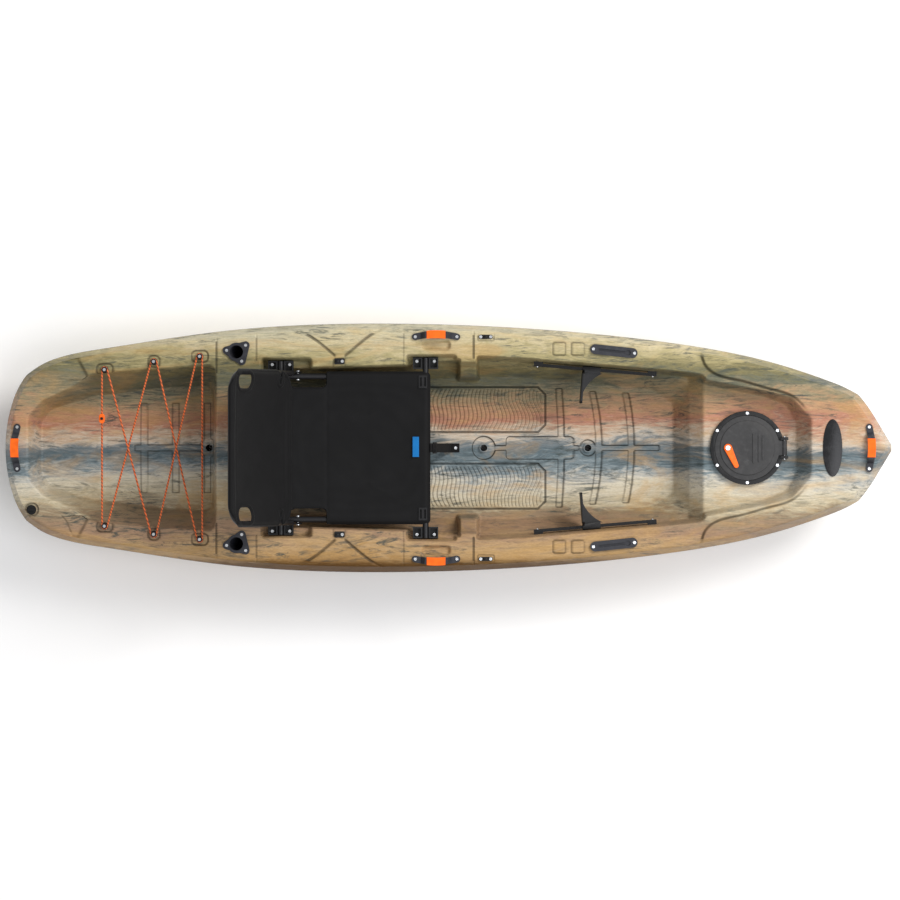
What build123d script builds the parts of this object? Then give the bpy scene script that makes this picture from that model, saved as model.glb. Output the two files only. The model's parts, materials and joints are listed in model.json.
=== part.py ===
"""Sit-on-top fishing kayak: two moulded shells, seat, foot braces, hatch and deck fittings.

Millimetres. +X points to the bow, +Y to the left side, +Z up; z = 0 is the bottom of the keel.
"""

import os
from math import atan2, cos, degrees, radians, sin, tan

from build123d import *

os.makedirs("parts", exist_ok=True)

# --- Overall sizes -------------------------------------------------------------------------
length = 2950.0
beam = 828.0
deck_height = 330.0
rim_height = 65.0  # from the seam between the shells up to the deck
rim_slope = 0.34  # how far the rim leans in for each millimetre up
ramp_angle = 3.4  # the foredeck's rise towards the bow
wall = 4.0  # both shells
lines_length = 2950.0  # the lines plan below is drawn for this length and beam
lines_beam = 828.0


def station(x):
    """A place along the hull, from the lines plan to this hull's length."""
    return x * length / lines_length


def breadth(y):
    """A place across the hull, from the lines plan to this hull's beam."""
    return y * beam / lines_beam


seam_height = deck_height - rim_height
ramp_x = station(830)  # where the foredeck starts to rise

# --- Wells in the deck ---------------------------------------------------------------------
cockpit_floor = 95.0
cockpit_ledge = 190.0
tank_floor = 150.0
bow_floor = 250.0
seat_pad_height = 275.0
well_corner = 24.0
pad_corner = 8.0
ledge_width = 10.0

# --- Seat ----------------------------------------------------------------------------------
seat_front_x = station(-76)
seat_length = 481.0  # front bar to rear bar
seat_tube_r = 10.0
seat_tube_wall = 1.5
seat_rail_y = 238.0
seat_height = 295.0  # tube centres above the keel
hinge_from_front = 424.0
back_recline = 30.0
back_length = 411.0  # hinge to the centre of the top tube
back_half_width = 247.0
back_tube_r = 9.0
sling_thick = 4.0
sling_gap = 0.4
bracket_wide = 38.0  # across the kayak
front_pad_long = 164.0
rear_pad_long = 163.0

# --- Bow hatch -----------------------------------------------------------------------------
hatch_x = station(995)
hatch_ring_r = 123.0
hatch_bore_r = 96.0
hatch_lid_r = 107.5
hatch_lid_gap = 0.8
hatch_seat = 6.0  # the ring's seat above the floor it lies on
hatch_ring_tall = 16.0
hatch_collar_deep = 25.0
hatch_collar_wall = 3.0
hatch_hinge_out = 124.0  # hinge pin from the hatch's centre
hatch_pin_r = 3.0
latch_from_centre = -65.0
latch_long = 65.0
latch_angle = -65.0

# --- Deck fittings -------------------------------------------------------------------------
screw_head_r = 5.0
screw_head_tall = 2.5
screw_shank_r = 2.5
screw_long = 16.0
screw_gap = 0.1
handle_half_span = 69.0
handle_bow = 8.0
handle_band = 22.0
handle_rise = 21.0
handle_thick = 6.0
rod_bore_r = 22.0
rod_tube_wall = 3.0
rod_tube_deep = 215.0
rod_tilt = -12.0
flange_thick = 5.0
track_long = 157.0
track_wide = 33.0
track_thick = 8.0
rail_long = 410.0
rail_thick = 10.0
rail_tall = 30.0
rail_standoff = 7.0
rail_height = 240.0
pedal_gap = 0.5
pedal_long = 60.0
pedal_reach = 104.0
pedal_tall = 110.0
scupper_tube_r = 15.0
scupper_bore_r = 11.5
plug_r = 14.0
cord_r = 3.0
hook_post_r = 5.0
cord_gap = 0.4
hook_base_tall = 4.0
lock_bore_gap = 0.4
pin_gap = 0.05  # running clearance of every pin in its hole
pin_head_thick = 2.5
pin_head_gap = 0.3

LEFT, RIGHT = 1, -1
SIDES = ((LEFT, "left"), (RIGHT, "right"))


# --- Shells --------------------------------------------------------------------------------
# Height, half-beam, stern and bow of each level of the hull, the last three as shares of the
# widest level, which lies at the seam.
HULL_LEVELS = (
    (0, 0.60, 0.80, 0.705),
    (30, 0.81, 0.902, 0.83),
    (90, 0.923, 0.949, 0.912),
    (180, 0.978, 0.983, 0.97),
    (seam_height, 1.0, 1.0, 1.0),
)
above_deck = 70.0  # the sides are lofted past the deck and then trimmed to it
# The side of every level: how far along from the middle and how far out, as shares.
SIDE_SHAPE = (
    (-0.956, 0.597),
    (-0.911, 0.684),
    (-0.777, 0.80),
    (-0.507, 0.94),
    (-0.148, 1.0),
    (0.211, 0.952),
    (0.481, 0.855),
    (0.75, 0.667),
    (0.929, 0.444),
)
bow_tip_half = 10.0


def level_outline(height, half, stern, bow):
    """A horizontal section of the hull, rounded at the stern and pointed at the bow."""
    middle, reach = (bow - stern) / 2, (bow + stern) / 2
    left = [(middle + reach * along, half * out) for along, out in SIDE_SHAPE]
    right = [(x, -y) for x, y in reversed(left)]
    with BuildSketch(Plane.XY.offset(height)) as level:
        with BuildLine():
            ThreePointArc(right[-1], (-stern, 0), left[0])
            Spline(*left)
            Polyline(left[-1], (bow, bow_tip_half), (bow, -bow_tip_half), right[0])
            Spline(*right)
        make_face()
    return level.sketch


def below_deck(drop):
    """The space under the deck's top surface, lowered by drop."""
    high = deck_height - drop
    with BuildPart() as space:
        with BuildSketch(Plane.XZ):
            with BuildLine():
                Polyline(
                    (-length, -length),
                    (-length, high),
                    (ramp_x, high),
                    (length, high + (length - ramp_x) * tan(radians(ramp_angle))),
                    (length, -length),
                    close=True,
                )
            make_face()
        extrude(amount=beam, both=True)
    return space.part


def hull_form(inset):
    """The hull's whole outside, or, with an inset, the hollow inside its walls."""
    top_inset = inset + above_deck * rim_slope + rim_height * rim_slope
    sections = []
    for height, half, stern, bow in HULL_LEVELS:
        sections.append(
            level_outline(
                max(height, inset),
                half * beam / 2 - inset,
                stern * length / 2 - inset,
                bow * length / 2 - inset,
            )
        )
    sections.append(
        level_outline(
            deck_height + above_deck,
            beam / 2 - top_inset,
            length / 2 - top_inset,
            length / 2 - top_inset,
        )
    )
    with BuildPart() as form:
        loft(sections, ruled=True)
        add(below_deck(inset), mode=Mode.INTERSECT)
    return form.part


def well(low, high, low_z, high_z, top_z, corner, growth=0.0):
    """A tapered well, mirrored about the centreline, from its left half outlines.

    With a growth it is the outside of the well's own walls and floor instead.
    """

    def level(z):
        share = (z - low_z) / (high_z - low_z)
        left = [
            (a + (c - a) * share, b + (d - b) * share) for (a, b), (c, d) in zip(low, high)
        ]
        right = [(x, -y) for x, y in reversed(left)]
        with BuildSketch(Plane.XY.offset(z)) as outline:
            with BuildLine():
                Polyline(*left, *right, close=True)
            make_face()
            fillet(outline.vertices(), corner)
            if growth:
                offset(amount=growth)
        return outline.sketch

    with BuildPart() as space:
        loft([level(low_z - growth), level(top_z)], ruled=True)
    return space.part


def plan(*points):
    """Points of the lines plan, at this hull's length and beam."""
    return [(station(x), breadth(y)) for x, y in points]


TANK_FLOOR = plan((-1365, 84), (-1330, 130), (-1264, 150), (-1160, 177), (-960, 203), (-790, 210))
TANK_TOP = plan((-1392, 104), (-1346, 156), (-1253, 198), (-1187, 245), (-960, 264), (-772, 276))
seat_rear_x = seat_front_x - seat_length
cockpit_rear = seat_rear_x - 83.0
COCKPIT_TOP = [(cockpit_rear, breadth(254))] + plan(
    (-456, 262), (-139, 271), (100, 300), (240, 293.6), (740, 251.1), (850, 238)
)
COCKPIT_LEDGE = [
    (cockpit_rear + ledge_width, COCKPIT_TOP[0][1] - ledge_width),
    *[(x, y - ledge_width) for x, y in COCKPIT_TOP[1:6]],
    (station(802), breadth(214)),
]
COCKPIT_FLOOR = [(cockpit_rear + 40.0, breadth(215))] + plan(
    (-456, 225), (-139, 228), (100, 238), (240, 236), (687, 195), (755, 150)
)
BOW_FLOOR = plan((800, 226), (900, 205), (1053, 174), (1129, 143), (1159, 84))
BOW_TOP = plan((800, 236), (900, 216), (1040, 190), (1135, 166), (1200, 96))
bow_top_height = 350.0

# The seat's mounting pads and the finger recesses are plain pockets on both sides.
front_pad = (seat_front_x + 19.0, breadth(306), front_pad_long)
rear_pad = (seat_rear_x + 19.5, breadth(295), rear_pad_long)
side_handle_x = station(-41)
side_handle_y = breadth(368)
recess_long, recess_wide, recess_deep = 90.0, 26.0, 14.0
recess_inboard = 28.0


def pockets(growth=0.0):
    """The pockets on both sides: (centre x, inner y, outer y, length, floor height)."""
    inner = breadth(200)
    shapes = [
        (front_pad[0], inner, front_pad[1], front_pad[2], seat_pad_height),
        (rear_pad[0], inner, rear_pad[1], rear_pad[2], seat_pad_height),
        (
            side_handle_x,
            side_handle_y - recess_inboard - recess_wide / 2,
            side_handle_y - recess_inboard + recess_wide / 2,
            recess_long,
            deck_height - recess_deep,
        ),
    ]
    with BuildPart() as all_pockets:
        for middle, inside, outside, long, floor in shapes:
            for side, _ in SIDES:
                with BuildSketch(Plane.XY.offset(floor - growth)) as pocket:
                    with Locations((middle, side * (inside + outside) / 2)):
                        RectangleRounded(
                            long + 2 * growth, outside - inside + 2 * growth, pad_corner + growth
                        )
                extrude(amount=deck_height - floor + growth + above_deck)
    return all_pockets.part


def all_wells(growth=0.0):
    """Every well as one space, or the outside of their walls."""
    over = deck_height + above_deck
    with BuildPart() as wells:
        add(well(TANK_FLOOR, TANK_TOP, tank_floor, deck_height, over, well_corner, growth))
        add(
            well(
                COCKPIT_FLOOR, COCKPIT_LEDGE, cockpit_floor, cockpit_ledge,
                cockpit_ledge + 1, well_corner, growth,
            )
        )
        add(
            well(
                COCKPIT_TOP, COCKPIT_TOP, cockpit_ledge, deck_height,
                over, well_corner, growth,
            )
        )
        add(well(BOW_FLOOR, BOW_TOP, bow_floor, bow_top_height, over, well_corner, growth))
        add(pockets(growth))
    return wells.part


# --- Places of the fittings ----------------------------------------------------------------
ramp_plane = Plane(
    origin=(ramp_x, 0, deck_height),
    x_dir=(cos(radians(ramp_angle)), 0, sin(radians(ramp_angle))),
    z_dir=(-sin(radians(ramp_angle)), 0, cos(radians(ramp_angle))),
)


def on_ramp(x, y):
    """The place on the rising foredeck above this x and y."""
    return ramp_plane * Pos((x - ramp_x) / cos(radians(ramp_angle)), y)


def on_deck(x, y):
    """The place on the flat deck at this x and y."""
    return Location((x, y, deck_height))


HANDLES = (
    ("bow", on_ramp(station(1391), 0) * Rot(0, 0, -90)),
    ("stern", on_deck(station(-1429), 0) * Rot(0, 0, 90)),
    ("left", on_deck(side_handle_x, side_handle_y)),
    ("right", on_deck(side_handle_x, -side_handle_y) * Rot(0, 0, 180)),
)
handle_screw_places = [
    place * Pos(side * handle_half_span, 0, handle_thick)
    for _, place in HANDLES
    for side, _ in SIDES
]

rod_x, rod_y = station(-702), breadth(318)
ROD_SCREWS = ((-33, 5), (30, 22), (17, -31))
rod_screw_places = [
    on_deck(rod_x + dx, side * (rod_y + dy)) * Pos(0, 0, flange_thick)
    for side, _ in SIDES
    for dx, dy in ROD_SCREWS
]


def rod_place(side):
    """The rod tube's mouth, its axis leaning aft as it goes down into the hull."""
    return on_deck(rod_x, side * rod_y) * Rot(0, rod_tilt, 0)


track_angle = -6.0
track_screw_inset = 10.0


def track_place(side):
    """The accessory track's middle on the side deck."""
    return on_deck(station(548), side * breadth(320.5)) * Rot(0, 0, side * track_angle)


track_screw_places = [
    track_place(side) * Pos(end * (track_long / 2 - track_screw_inset), 0, track_thick)
    for side, _ in SIDES
    for end in (-1, 1)
]

# The foot rail is parallel to the straight stretch of the cockpit's upper wall.
wall_start, wall_end = COCKPIT_TOP[4], COCKPIT_TOP[5]
wall_angle = degrees(atan2(wall_end[1] - wall_start[1], wall_end[0] - wall_start[0]))
wall_middle = ((wall_start[0] + wall_end[0]) / 2, (wall_start[1] + wall_end[1]) / 2)


def rail_place(side):
    """On the upper wall at the rail's height: x along it, y away from the wall, z up."""
    flip = Rot(180, 0, 0) if side == LEFT else Rot(0, 0, 0)
    return Location(
        (wall_middle[0], side * wall_middle[1], rail_height), (0, 0, side * wall_angle)
    ) * flip


rail_screw_spread = rail_long / 2 - 12.0
rail_screw_places = [
    rail_place(side) * Pos(end * rail_screw_spread, rail_standoff + rail_thick, 0) * Rot(-90, 0, 0)
    for side, _ in SIDES
    for end in (-1, 1)
]

SINGLE_EYES = [on_deck(station(-361), side * breadth(287)) for side, _ in SIDES]
DOUBLE_EYES = [on_deck(station(123.5), side * breadth(368)) for side, _ in SIDES]
eye_screw_half = 16.5
eye_base_tall = 3.0
single_eye_screw = 9.0
eye_screw_places = [
    place * Pos(end * eye_screw_half, 0, eye_base_tall)
    for place in DOUBLE_EYES
    for end in (-1, 1)
] + [place * Pos(0, 0, eye_base_tall) * Pos(single_eye_screw, 0, 0) for place in SINGLE_EYES]

ring_screw_r = (hatch_ring_r + hatch_lid_r + hatch_lid_gap) / 2
ring_screw_places = [
    Location((hatch_x, 0, bow_floor + hatch_ring_tall)) * Rot(0, 0, angle) * Pos(ring_screw_r, 0)
    for angle in range(30, 360, 60)
]

bracket_long = 84.0
bracket_tall = 28.0
bracket_screw_half = 29.0
bracket_screw_y = 7.0
bracket_places = [
    Location((x, side * (edge - 6.0 - bracket_wide / 2), seat_pad_height))
    for x, edge in ((seat_front_x, front_pad[1]), (seat_rear_x, rear_pad[1]))
    for side, _ in SIDES
]
bracket_screw_places = [
    place * Pos(end * bracket_screw_half, bracket_screw_y * (1 if place.position.Y > 0 else -1), 4)
    for place in bracket_places
    for end in (-1, 1)
]

plug_place = on_deck(station(-1382), breadth(-205))

# Bungee: the loop's six corners lie outboard of the six hooks they turn round.
HOOKS = {
    "aft_left": (-1139, 259, 1), "aft_right": (-1139, -259, 0),
    "mid_left": (-976, 286, 0), "mid_right": (-976, -286, 1),
    "fore_left": (-824, 303, 1), "fore_right": (-824, -303, 0),
}
LOOP = ("aft_left", "aft_right", "mid_left", "fore_right", "fore_left", "mid_right")
cord_turn_r = hook_post_r + cord_gap + cord_r
cord_levels = (
    deck_height + hook_base_tall + cord_gap + cord_r,
    deck_height + hook_base_tall + cord_gap + cord_r + 2 * cord_r + 2 * cord_gap,
)


def hook_centre(name):
    """A hook's post on the deck."""
    x, y, _ = HOOKS[name]
    return Vector(station(x), breadth(y))


def cord_corners():
    """Where the cord's runs would meet beyond each hook if they went straight on.

    Each corner follows from its neighbours, so they are settled together in a few rounds.
    """
    corners = [hook_centre(name) for name in LOOP]
    for _ in range(6):
        settled = []
        for turn, name in enumerate(LOOP):
            here = hook_centre(name)
            before = (corners[turn - 1] - corners[turn]).normalized()
            after = (corners[(turn + 1) % len(LOOP)] - corners[turn]).normalized()
            half_turn = radians(before.get_angle(after)) / 2
            inward = (before + after).normalized()
            settled.append(here - inward * (cord_turn_r / sin(half_turn)))
        corners = settled
    return [Vector(c.X, c.Y, cord_levels[HOOKS[name][2]]) for c, name in zip(corners, LOOP)]


corners = cord_corners()
hook_places = [Location((hook_centre(n).X, hook_centre(n).Y, deck_height)) for n in LOOP]
lock_share = 0.35  # how far along the aft run the cord lock sits, from the left hook
lock_point = corners[0] + (corners[1] - corners[0]) * lock_share
lock_place = Plane(
    origin=lock_point, x_dir=(corners[1] - corners[0]).normalized(), z_dir=(0, 0, 1)
)


# --- Shared shapes -------------------------------------------------------------------------
def screws(places):
    """Pan head screws, each with its head's underside at its place and its shank below."""
    with BuildPart() as group:
        with Locations(*places):
            Cylinder(screw_shank_r, screw_long, align=(Align.CENTER, Align.CENTER, Align.MAX))
            Cylinder(screw_head_r, screw_head_tall, align=(Align.CENTER, Align.CENTER, Align.MIN))
        with Locations(*[place * Pos(0, 0, screw_head_tall) for place in places]):
            Box(
                1.2, 6, 2, align=(Align.CENTER, Align.CENTER, Align.MAX), mode=Mode.SUBTRACT
            )
            Box(
                6, 1.2, 2, align=(Align.CENTER, Align.CENTER, Align.MAX), mode=Mode.SUBTRACT
            )
    return group.part


def screw_holes(places):
    """Cuts the screws' clearance holes through whatever they fasten."""
    with Locations(*places):
        Cylinder(screw_shank_r + screw_gap, 2 * screw_long + 10, mode=Mode.SUBTRACT)


def tube(outer_r, thickness, *points, corner=0.0):
    """A bent metal tube along a route of straight runs and round corners."""
    with BuildPart() as made:
        with BuildLine() as route:
            if corner:
                FilletPolyline(*points, radius=corner)
            else:
                Line(*points)
        with BuildSketch(Plane(origin=route.line @ 0, z_dir=route.line % 0)):
            Circle(outer_r)
            Circle(outer_r - thickness, mode=Mode.SUBTRACT)
        sweep()
    return made.part


# --- Hull and deck -------------------------------------------------------------------------
outside = hull_form(0)
hollow = hull_form(wall)
seam_plane = Plane.XY.offset(seam_height)
SCUPPERS = (
    (station(119), cockpit_floor),
    (station(470), cockpit_floor),
    (station(-804), tank_floor),
)

with BuildPart() as hull:
    add(outside)
    split(bisect_by=seam_plane, keep=Keep.BOTTOM)
    add(hollow, mode=Mode.SUBTRACT)
    with Locations(*[(x, 0, 0) for x, _ in SCUPPERS]):
        Cylinder(scupper_tube_r, 4 * wall, mode=Mode.SUBTRACT)
hull.part.label = "hull"
export_step(hull.part, "parts/hull.step")

with BuildPart() as well_walls:
    add(all_wells(wall))
    add(outside, mode=Mode.INTERSECT)

with BuildPart() as deck:
    add(outside)
    split(bisect_by=seam_plane, keep=Keep.TOP)
    add(hollow, mode=Mode.SUBTRACT)
    add(well_walls.part)
    add(all_wells(), mode=Mode.SUBTRACT)
    with Locations(*[(x, 0, floor) for x, floor in SCUPPERS]):
        Cylinder(scupper_tube_r, 4 * wall, mode=Mode.SUBTRACT)
    with Locations((hatch_x, 0, bow_floor)):
        Cylinder(hatch_bore_r + hatch_collar_wall + screw_gap, 4 * wall, mode=Mode.SUBTRACT)
    with Locations(*[rod_place(side) for side, _ in SIDES]):
        Cylinder(rod_bore_r + rod_tube_wall + screw_gap, 60, mode=Mode.SUBTRACT)
    with Locations(plug_place):
        Cylinder(plug_r - 4 + screw_gap, 4 * wall, mode=Mode.SUBTRACT)
    screw_holes(
        handle_screw_places + rod_screw_places + track_screw_places + rail_screw_places
        + eye_screw_places + bracket_screw_places + hook_places
    )
    screw_holes(ring_screw_places + [Location((station(24), 0, cockpit_floor))])
deck.part.label = "deck"
export_step(deck.part, "parts/deck.step")

with BuildPart() as scupper_tubes:
    for x, floor in SCUPPERS:
        with BuildSketch(Plane.XY):
            with Locations((x, 0)):
                Circle(scupper_tube_r)
                Circle(scupper_bore_r, mode=Mode.SUBTRACT)
        extrude(amount=floor)
scupper_tubes.part.label = "scupper_tubes"
export_step(scupper_tubes.part, "parts/scupper_tubes.step")

foam_gap = 0.3
foam_tall = tank_floor - 2 * wall - 2 * foam_gap
with BuildPart() as foam_blocks:
    with Locations(*[(station(-970), side * 80, wall + foam_gap) for side, _ in SIDES]):
        Box(220, 90, foam_tall, align=(Align.CENTER, Align.CENTER, Align.MIN))
    fillet(foam_blocks.edges().filter_by(Axis.Z), 12)
foam_blocks.part.label = "foam_blocks"
export_step(foam_blocks.part, "parts/foam_blocks.step")

# --- Drain plug ----------------------------------------------------------------------------
washer_thick = 1.5
with BuildPart() as drain_washer:
    with BuildSketch(Plane(plug_place)):
        Circle(plug_r + 2)
        Circle(plug_r - 3.5, mode=Mode.SUBTRACT)
    extrude(amount=washer_thick)
drain_washer.part.label = "drain_washer"
export_step(drain_washer.part, "parts/drain_washer.step")

with BuildPart() as drain_plug:
    with BuildSketch(Plane(plug_place * Pos(0, 0, washer_thick))):
        Circle(plug_r)
    extrude(amount=5)
    with BuildSketch(Plane(plug_place * Pos(0, 0, washer_thick + 5))):
        SlotOverall(2 * plug_r - 4, 7)
    extrude(amount=7)
    with BuildSketch(Plane(plug_place * Pos(0, 0, washer_thick))):
        Circle(plug_r - 4)
    extrude(amount=-16)
drain_plug.part.label = "drain_plug"
export_step(drain_plug.part, "parts/drain_plug.step")

# --- Carry handles -------------------------------------------------------------------------
grip_long = 62.0
grip_wide = 26.0
grip_thick = 12.0
handle_foot = 15.0  # how far the flat feet run past their screws


def handle_band_shape(wide):
    """The strap's bowed outline seen from above."""
    bow = Edge.make_three_point_arc(
        (-handle_half_span, 0), (0, handle_bow), (handle_half_span, 0)
    )
    with BuildSketch() as band:
        SlotArc(bow, wide)
    return band.sketch


def handle_strap(place):
    """A moulded strap: flat feet under the screws and a raised middle for the fingers."""
    end = handle_half_span + handle_foot
    step_out, step_in = handle_half_span - 18, handle_half_span - 32
    half_side = [
        (end, 0), (end, handle_thick), (step_out, handle_thick),
        (step_in, handle_rise + handle_thick),
    ]
    under = [(step_in - 5, handle_rise), (step_out - 4, 0)]
    band = extrude(handle_band_shape(handle_band), amount=2 * handle_band)
    with BuildPart() as strap:
        with BuildSketch(Plane.XZ):
            with BuildLine():
                Polyline(
                    *[(-x, z) for x, z in half_side], *reversed(half_side),
                    *reversed(under), *[(-x, z) for x, z in under], close=True,
                )
            make_face()
        extrude(amount=handle_band * 2, both=True)
        add(band, mode=Mode.INTERSECT)
        with Locations((-handle_half_span, 0), (handle_half_span, 0)):
            Cylinder(screw_shank_r + screw_gap, 40, mode=Mode.SUBTRACT)
    return place * strap.part


def handle_grip(place):
    """The soft grip moulded round the middle of the strap."""
    low = handle_rise + handle_thick / 2 - grip_thick / 2
    sleeve, core = handle_band_shape(grip_wide), handle_band_shape(handle_band)
    with BuildPart() as grip:
        with BuildSketch(Plane.XY.offset(low)):
            add(sleeve)
            Rectangle(grip_long, 200, mode=Mode.INTERSECT)
        extrude(amount=grip_thick)
        with BuildSketch(Plane.XY.offset(handle_rise)):
            add(core)
        extrude(amount=handle_thick, mode=Mode.SUBTRACT)
    return place * grip.part


for name, place in HANDLES:
    strap = handle_strap(place)
    strap.label = f"{name}_handle_strap"
    export_step(strap, f"parts/{name}_handle_strap.step")
    grip = handle_grip(place)
    grip.label = f"{name}_handle_grip"
    export_step(grip, f"parts/{name}_handle_grip.step")

handle_screws = screws(handle_screw_places)
handle_screws.label = "handle_screws"
export_step(handle_screws, "parts/handle_screws.step")

# --- Rod holders ---------------------------------------------------------------------------
flange_corner_r = 13.0
for side, name in SIDES:
    with BuildPart() as rod_holder:
        with BuildSketch(Plane(on_deck(rod_x, side * rod_y))):
            with Locations(*[(dx, side * dy) for dx, dy in ROD_SCREWS]):
                Circle(flange_corner_r)
            make_hull()
            Circle(rod_bore_r + 9)
        extrude(amount=flange_thick)
        with Locations(rod_place(side)):
            Cylinder(
                rod_bore_r + rod_tube_wall, rod_tube_deep + 40,
                align=(Align.CENTER, Align.CENTER, Align.MAX),
            )
        with Locations(rod_place(side) * Pos(0, 0, -rod_tube_deep)):
            Cylinder(
                rod_bore_r, rod_tube_deep + 40,
                align=(Align.CENTER, Align.CENTER, Align.MIN), mode=Mode.SUBTRACT,
            )
            Cylinder(
                2 * rod_bore_r, 60,
                align=(Align.CENTER, Align.CENTER, Align.MAX), mode=Mode.SUBTRACT,
            )
        with Locations(rod_place(side) * Pos(0, 0, -rod_tube_deep)):
            Cylinder(rod_bore_r + rod_tube_wall, rod_tube_wall)
        with Locations(*[on_deck(rod_x + dx, side * (rod_y + dy)) for dx, dy in ROD_SCREWS]):
            Cylinder(screw_shank_r + screw_gap, 30, mode=Mode.SUBTRACT)
    rod_holder.part.label = f"rod_holder_{name}"
    export_step(rod_holder.part, f"parts/rod_holder_{name}.step")

rod_holder_screws = screws(rod_screw_places)
rod_holder_screws.label = "rod_holder_screws"
export_step(rod_holder_screws, "parts/rod_holder_screws.step")

# --- Accessory tracks ----------------------------------------------------------------------
track_mouth = 8.0
track_channel = 18.0
track_lip = 2.5
track_slot_long = 112.0
for side, name in SIDES:
    with BuildPart() as accessory_track:
        with BuildSketch(Plane(track_place(side))):
            SlotOverall(track_long, track_wide)
        extrude(amount=track_thick)
        with BuildSketch(Plane(track_place(side) * Pos(0, 0, 2))):
            SlotOverall(track_slot_long, track_channel)
        extrude(amount=track_thick - track_lip - 2, mode=Mode.SUBTRACT)
        with BuildSketch(Plane(track_place(side) * Pos(0, 0, 2))):
            SlotOverall(track_slot_long - 8, track_mouth)
            with Locations(((track_slot_long - track_channel) / 2, 0)):
                Circle(track_channel / 2)
        extrude(amount=track_thick, mode=Mode.SUBTRACT)
        with Locations(
            *[track_place(side) * Pos(e * (track_long / 2 - track_screw_inset), 0) for e in (-1, 1)]
        ):
            Cylinder(screw_shank_r + screw_gap, 40, mode=Mode.SUBTRACT)
    accessory_track.part.label = f"accessory_track_{name}"
    export_step(accessory_track.part, f"parts/accessory_track_{name}.step")

track_screws = screws(track_screw_places)
track_screws.label = "track_screws"
export_step(track_screws, "parts/track_screws.step")

# --- Foot braces ---------------------------------------------------------------------------
notch_pitch = 20.0
notch_long, notch_deep = 6.0, 3.0
rail_foot_long = 30.0
pedal_face = 7.0
pedal_start = -12.0  # the pedals' place along their rails
pedal_shell = 6.0
rib_thick = 8.0
for side, name in SIDES:
    on_rail = rail_place(side)
    with BuildPart() as foot_rail:
        with Locations(on_rail * Pos(0, rail_standoff + rail_thick / 2, 0)):
            Box(rail_long, rail_thick, rail_tall)
        with Locations(
            *[on_rail * Pos(e * (rail_long - rail_foot_long) / 2, rail_standoff / 2) for e in (-1, 1)]
        ):
            Box(rail_foot_long, rail_standoff, rail_tall)
        with Locations(on_rail * Pos(0, rail_standoff + rail_thick, 0)):
            with GridLocations(notch_pitch, 1, 17, 1):
                Box(notch_long, 2 * notch_deep, rail_tall / 2, mode=Mode.SUBTRACT)
        with Locations(*[on_rail * Pos(e * rail_screw_spread, 0) * Rot(-90, 0, 0) for e in (-1, 1)]):
            Cylinder(screw_shank_r + screw_gap, 80, mode=Mode.SUBTRACT)
    foot_rail.part.label = f"foot_rail_{name}"
    export_step(foot_rail.part, f"parts/foot_rail_{name}.step")

    at_pedal = on_rail * Pos(pedal_start, rail_standoff + rail_thick / 2, 0)
    outer = rail_thick / 2 + pedal_gap + pedal_shell
    tall = rail_tall + 2 * pedal_gap + 2 * pedal_shell
    with BuildPart() as foot_pedal:
        with Locations(at_pedal * Pos(0, (pedal_shell - 2.5) / 2, 0)):
            Box(pedal_long, rail_thick + 2 * pedal_gap + pedal_shell + 2.5, tall)
        with Locations(at_pedal):
            Box(
                2 * pedal_long, rail_thick + 2 * pedal_gap, rail_tall + 2 * pedal_gap,
                mode=Mode.SUBTRACT,
            )
        with Locations(at_pedal * Pos(0, -rail_thick, 0)):
            Box(2 * pedal_long, 2 * rail_thick, rail_tall - 6, mode=Mode.SUBTRACT)
        with Locations(at_pedal * Pos(-pedal_long / 2 + pedal_face / 2, outer + pedal_reach / 2, 0)):
            Box(pedal_face, pedal_reach, pedal_tall)
        with BuildSketch(Plane(at_pedal * Pos(0, outer - 1, -rib_thick / 2))):
            with BuildLine():
                Line((-pedal_long / 2 + 2, 0), (-pedal_long / 2 + 2, pedal_reach - 4))
                ThreePointArc(
                    (-pedal_long / 2 + 2, pedal_reach - 4),
                    (-pedal_long / 2 + 20, pedal_reach * 0.42),
                    (pedal_long / 2 + 8, 0),
                )
                Line((pedal_long / 2 + 8, 0), (-pedal_long / 2 + 2, 0))
            make_face()
        extrude(amount=rib_thick)
        fillet(
            foot_pedal.edges().filter_by(lambda e: abs(e.length - pedal_face) < 0.01), 10
        )
    foot_pedal.part.label = f"foot_pedal_{name}"
    export_step(foot_pedal.part, f"parts/foot_pedal_{name}.step")

foot_rail_screws = screws(rail_screw_places)
foot_rail_screws.label = "foot_rail_screws"
export_step(foot_rail_screws, "parts/foot_rail_screws.step")

# --- Pad eyes ------------------------------------------------------------------------------
with BuildPart() as pad_eyes:
    for place in DOUBLE_EYES:
        with BuildSketch(Plane(place)):
            SlotOverall(2 * eye_screw_half + 14, 14)
        extrude(amount=eye_base_tall)
        with BuildSketch(Plane(place * Pos(0, 0, eye_base_tall) * Rot(90, 0, 0))):
            Circle(10)
            Circle(6, mode=Mode.SUBTRACT)
            with Locations((0, -10)):
                Rectangle(30, 20, mode=Mode.SUBTRACT)
        extrude(amount=2.5, both=True)
    for place in SINGLE_EYES:
        with BuildSketch(Plane(place)):
            RectangleRounded(34, 20, 4)
        extrude(amount=eye_base_tall)
        with BuildSketch(Plane(place * Pos(-7, 0, eye_base_tall) * Rot(90, 0, 0))):
            Circle(9.5)
            Circle(5.5, mode=Mode.SUBTRACT)
            with Locations((0, -10)):
                Rectangle(30, 20, mode=Mode.SUBTRACT)
        extrude(amount=2.5, both=True)
    with Locations(*eye_screw_places):
        Cylinder(screw_shank_r + screw_gap, 20, mode=Mode.SUBTRACT)
pad_eyes.part.label = "pad_eyes"
export_step(pad_eyes.part, "parts/pad_eyes.step")

pad_eye_screws = screws(eye_screw_places)
pad_eye_screws.label = "pad_eye_screws"
export_step(pad_eye_screws, "parts/pad_eye_screws.step")

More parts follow.
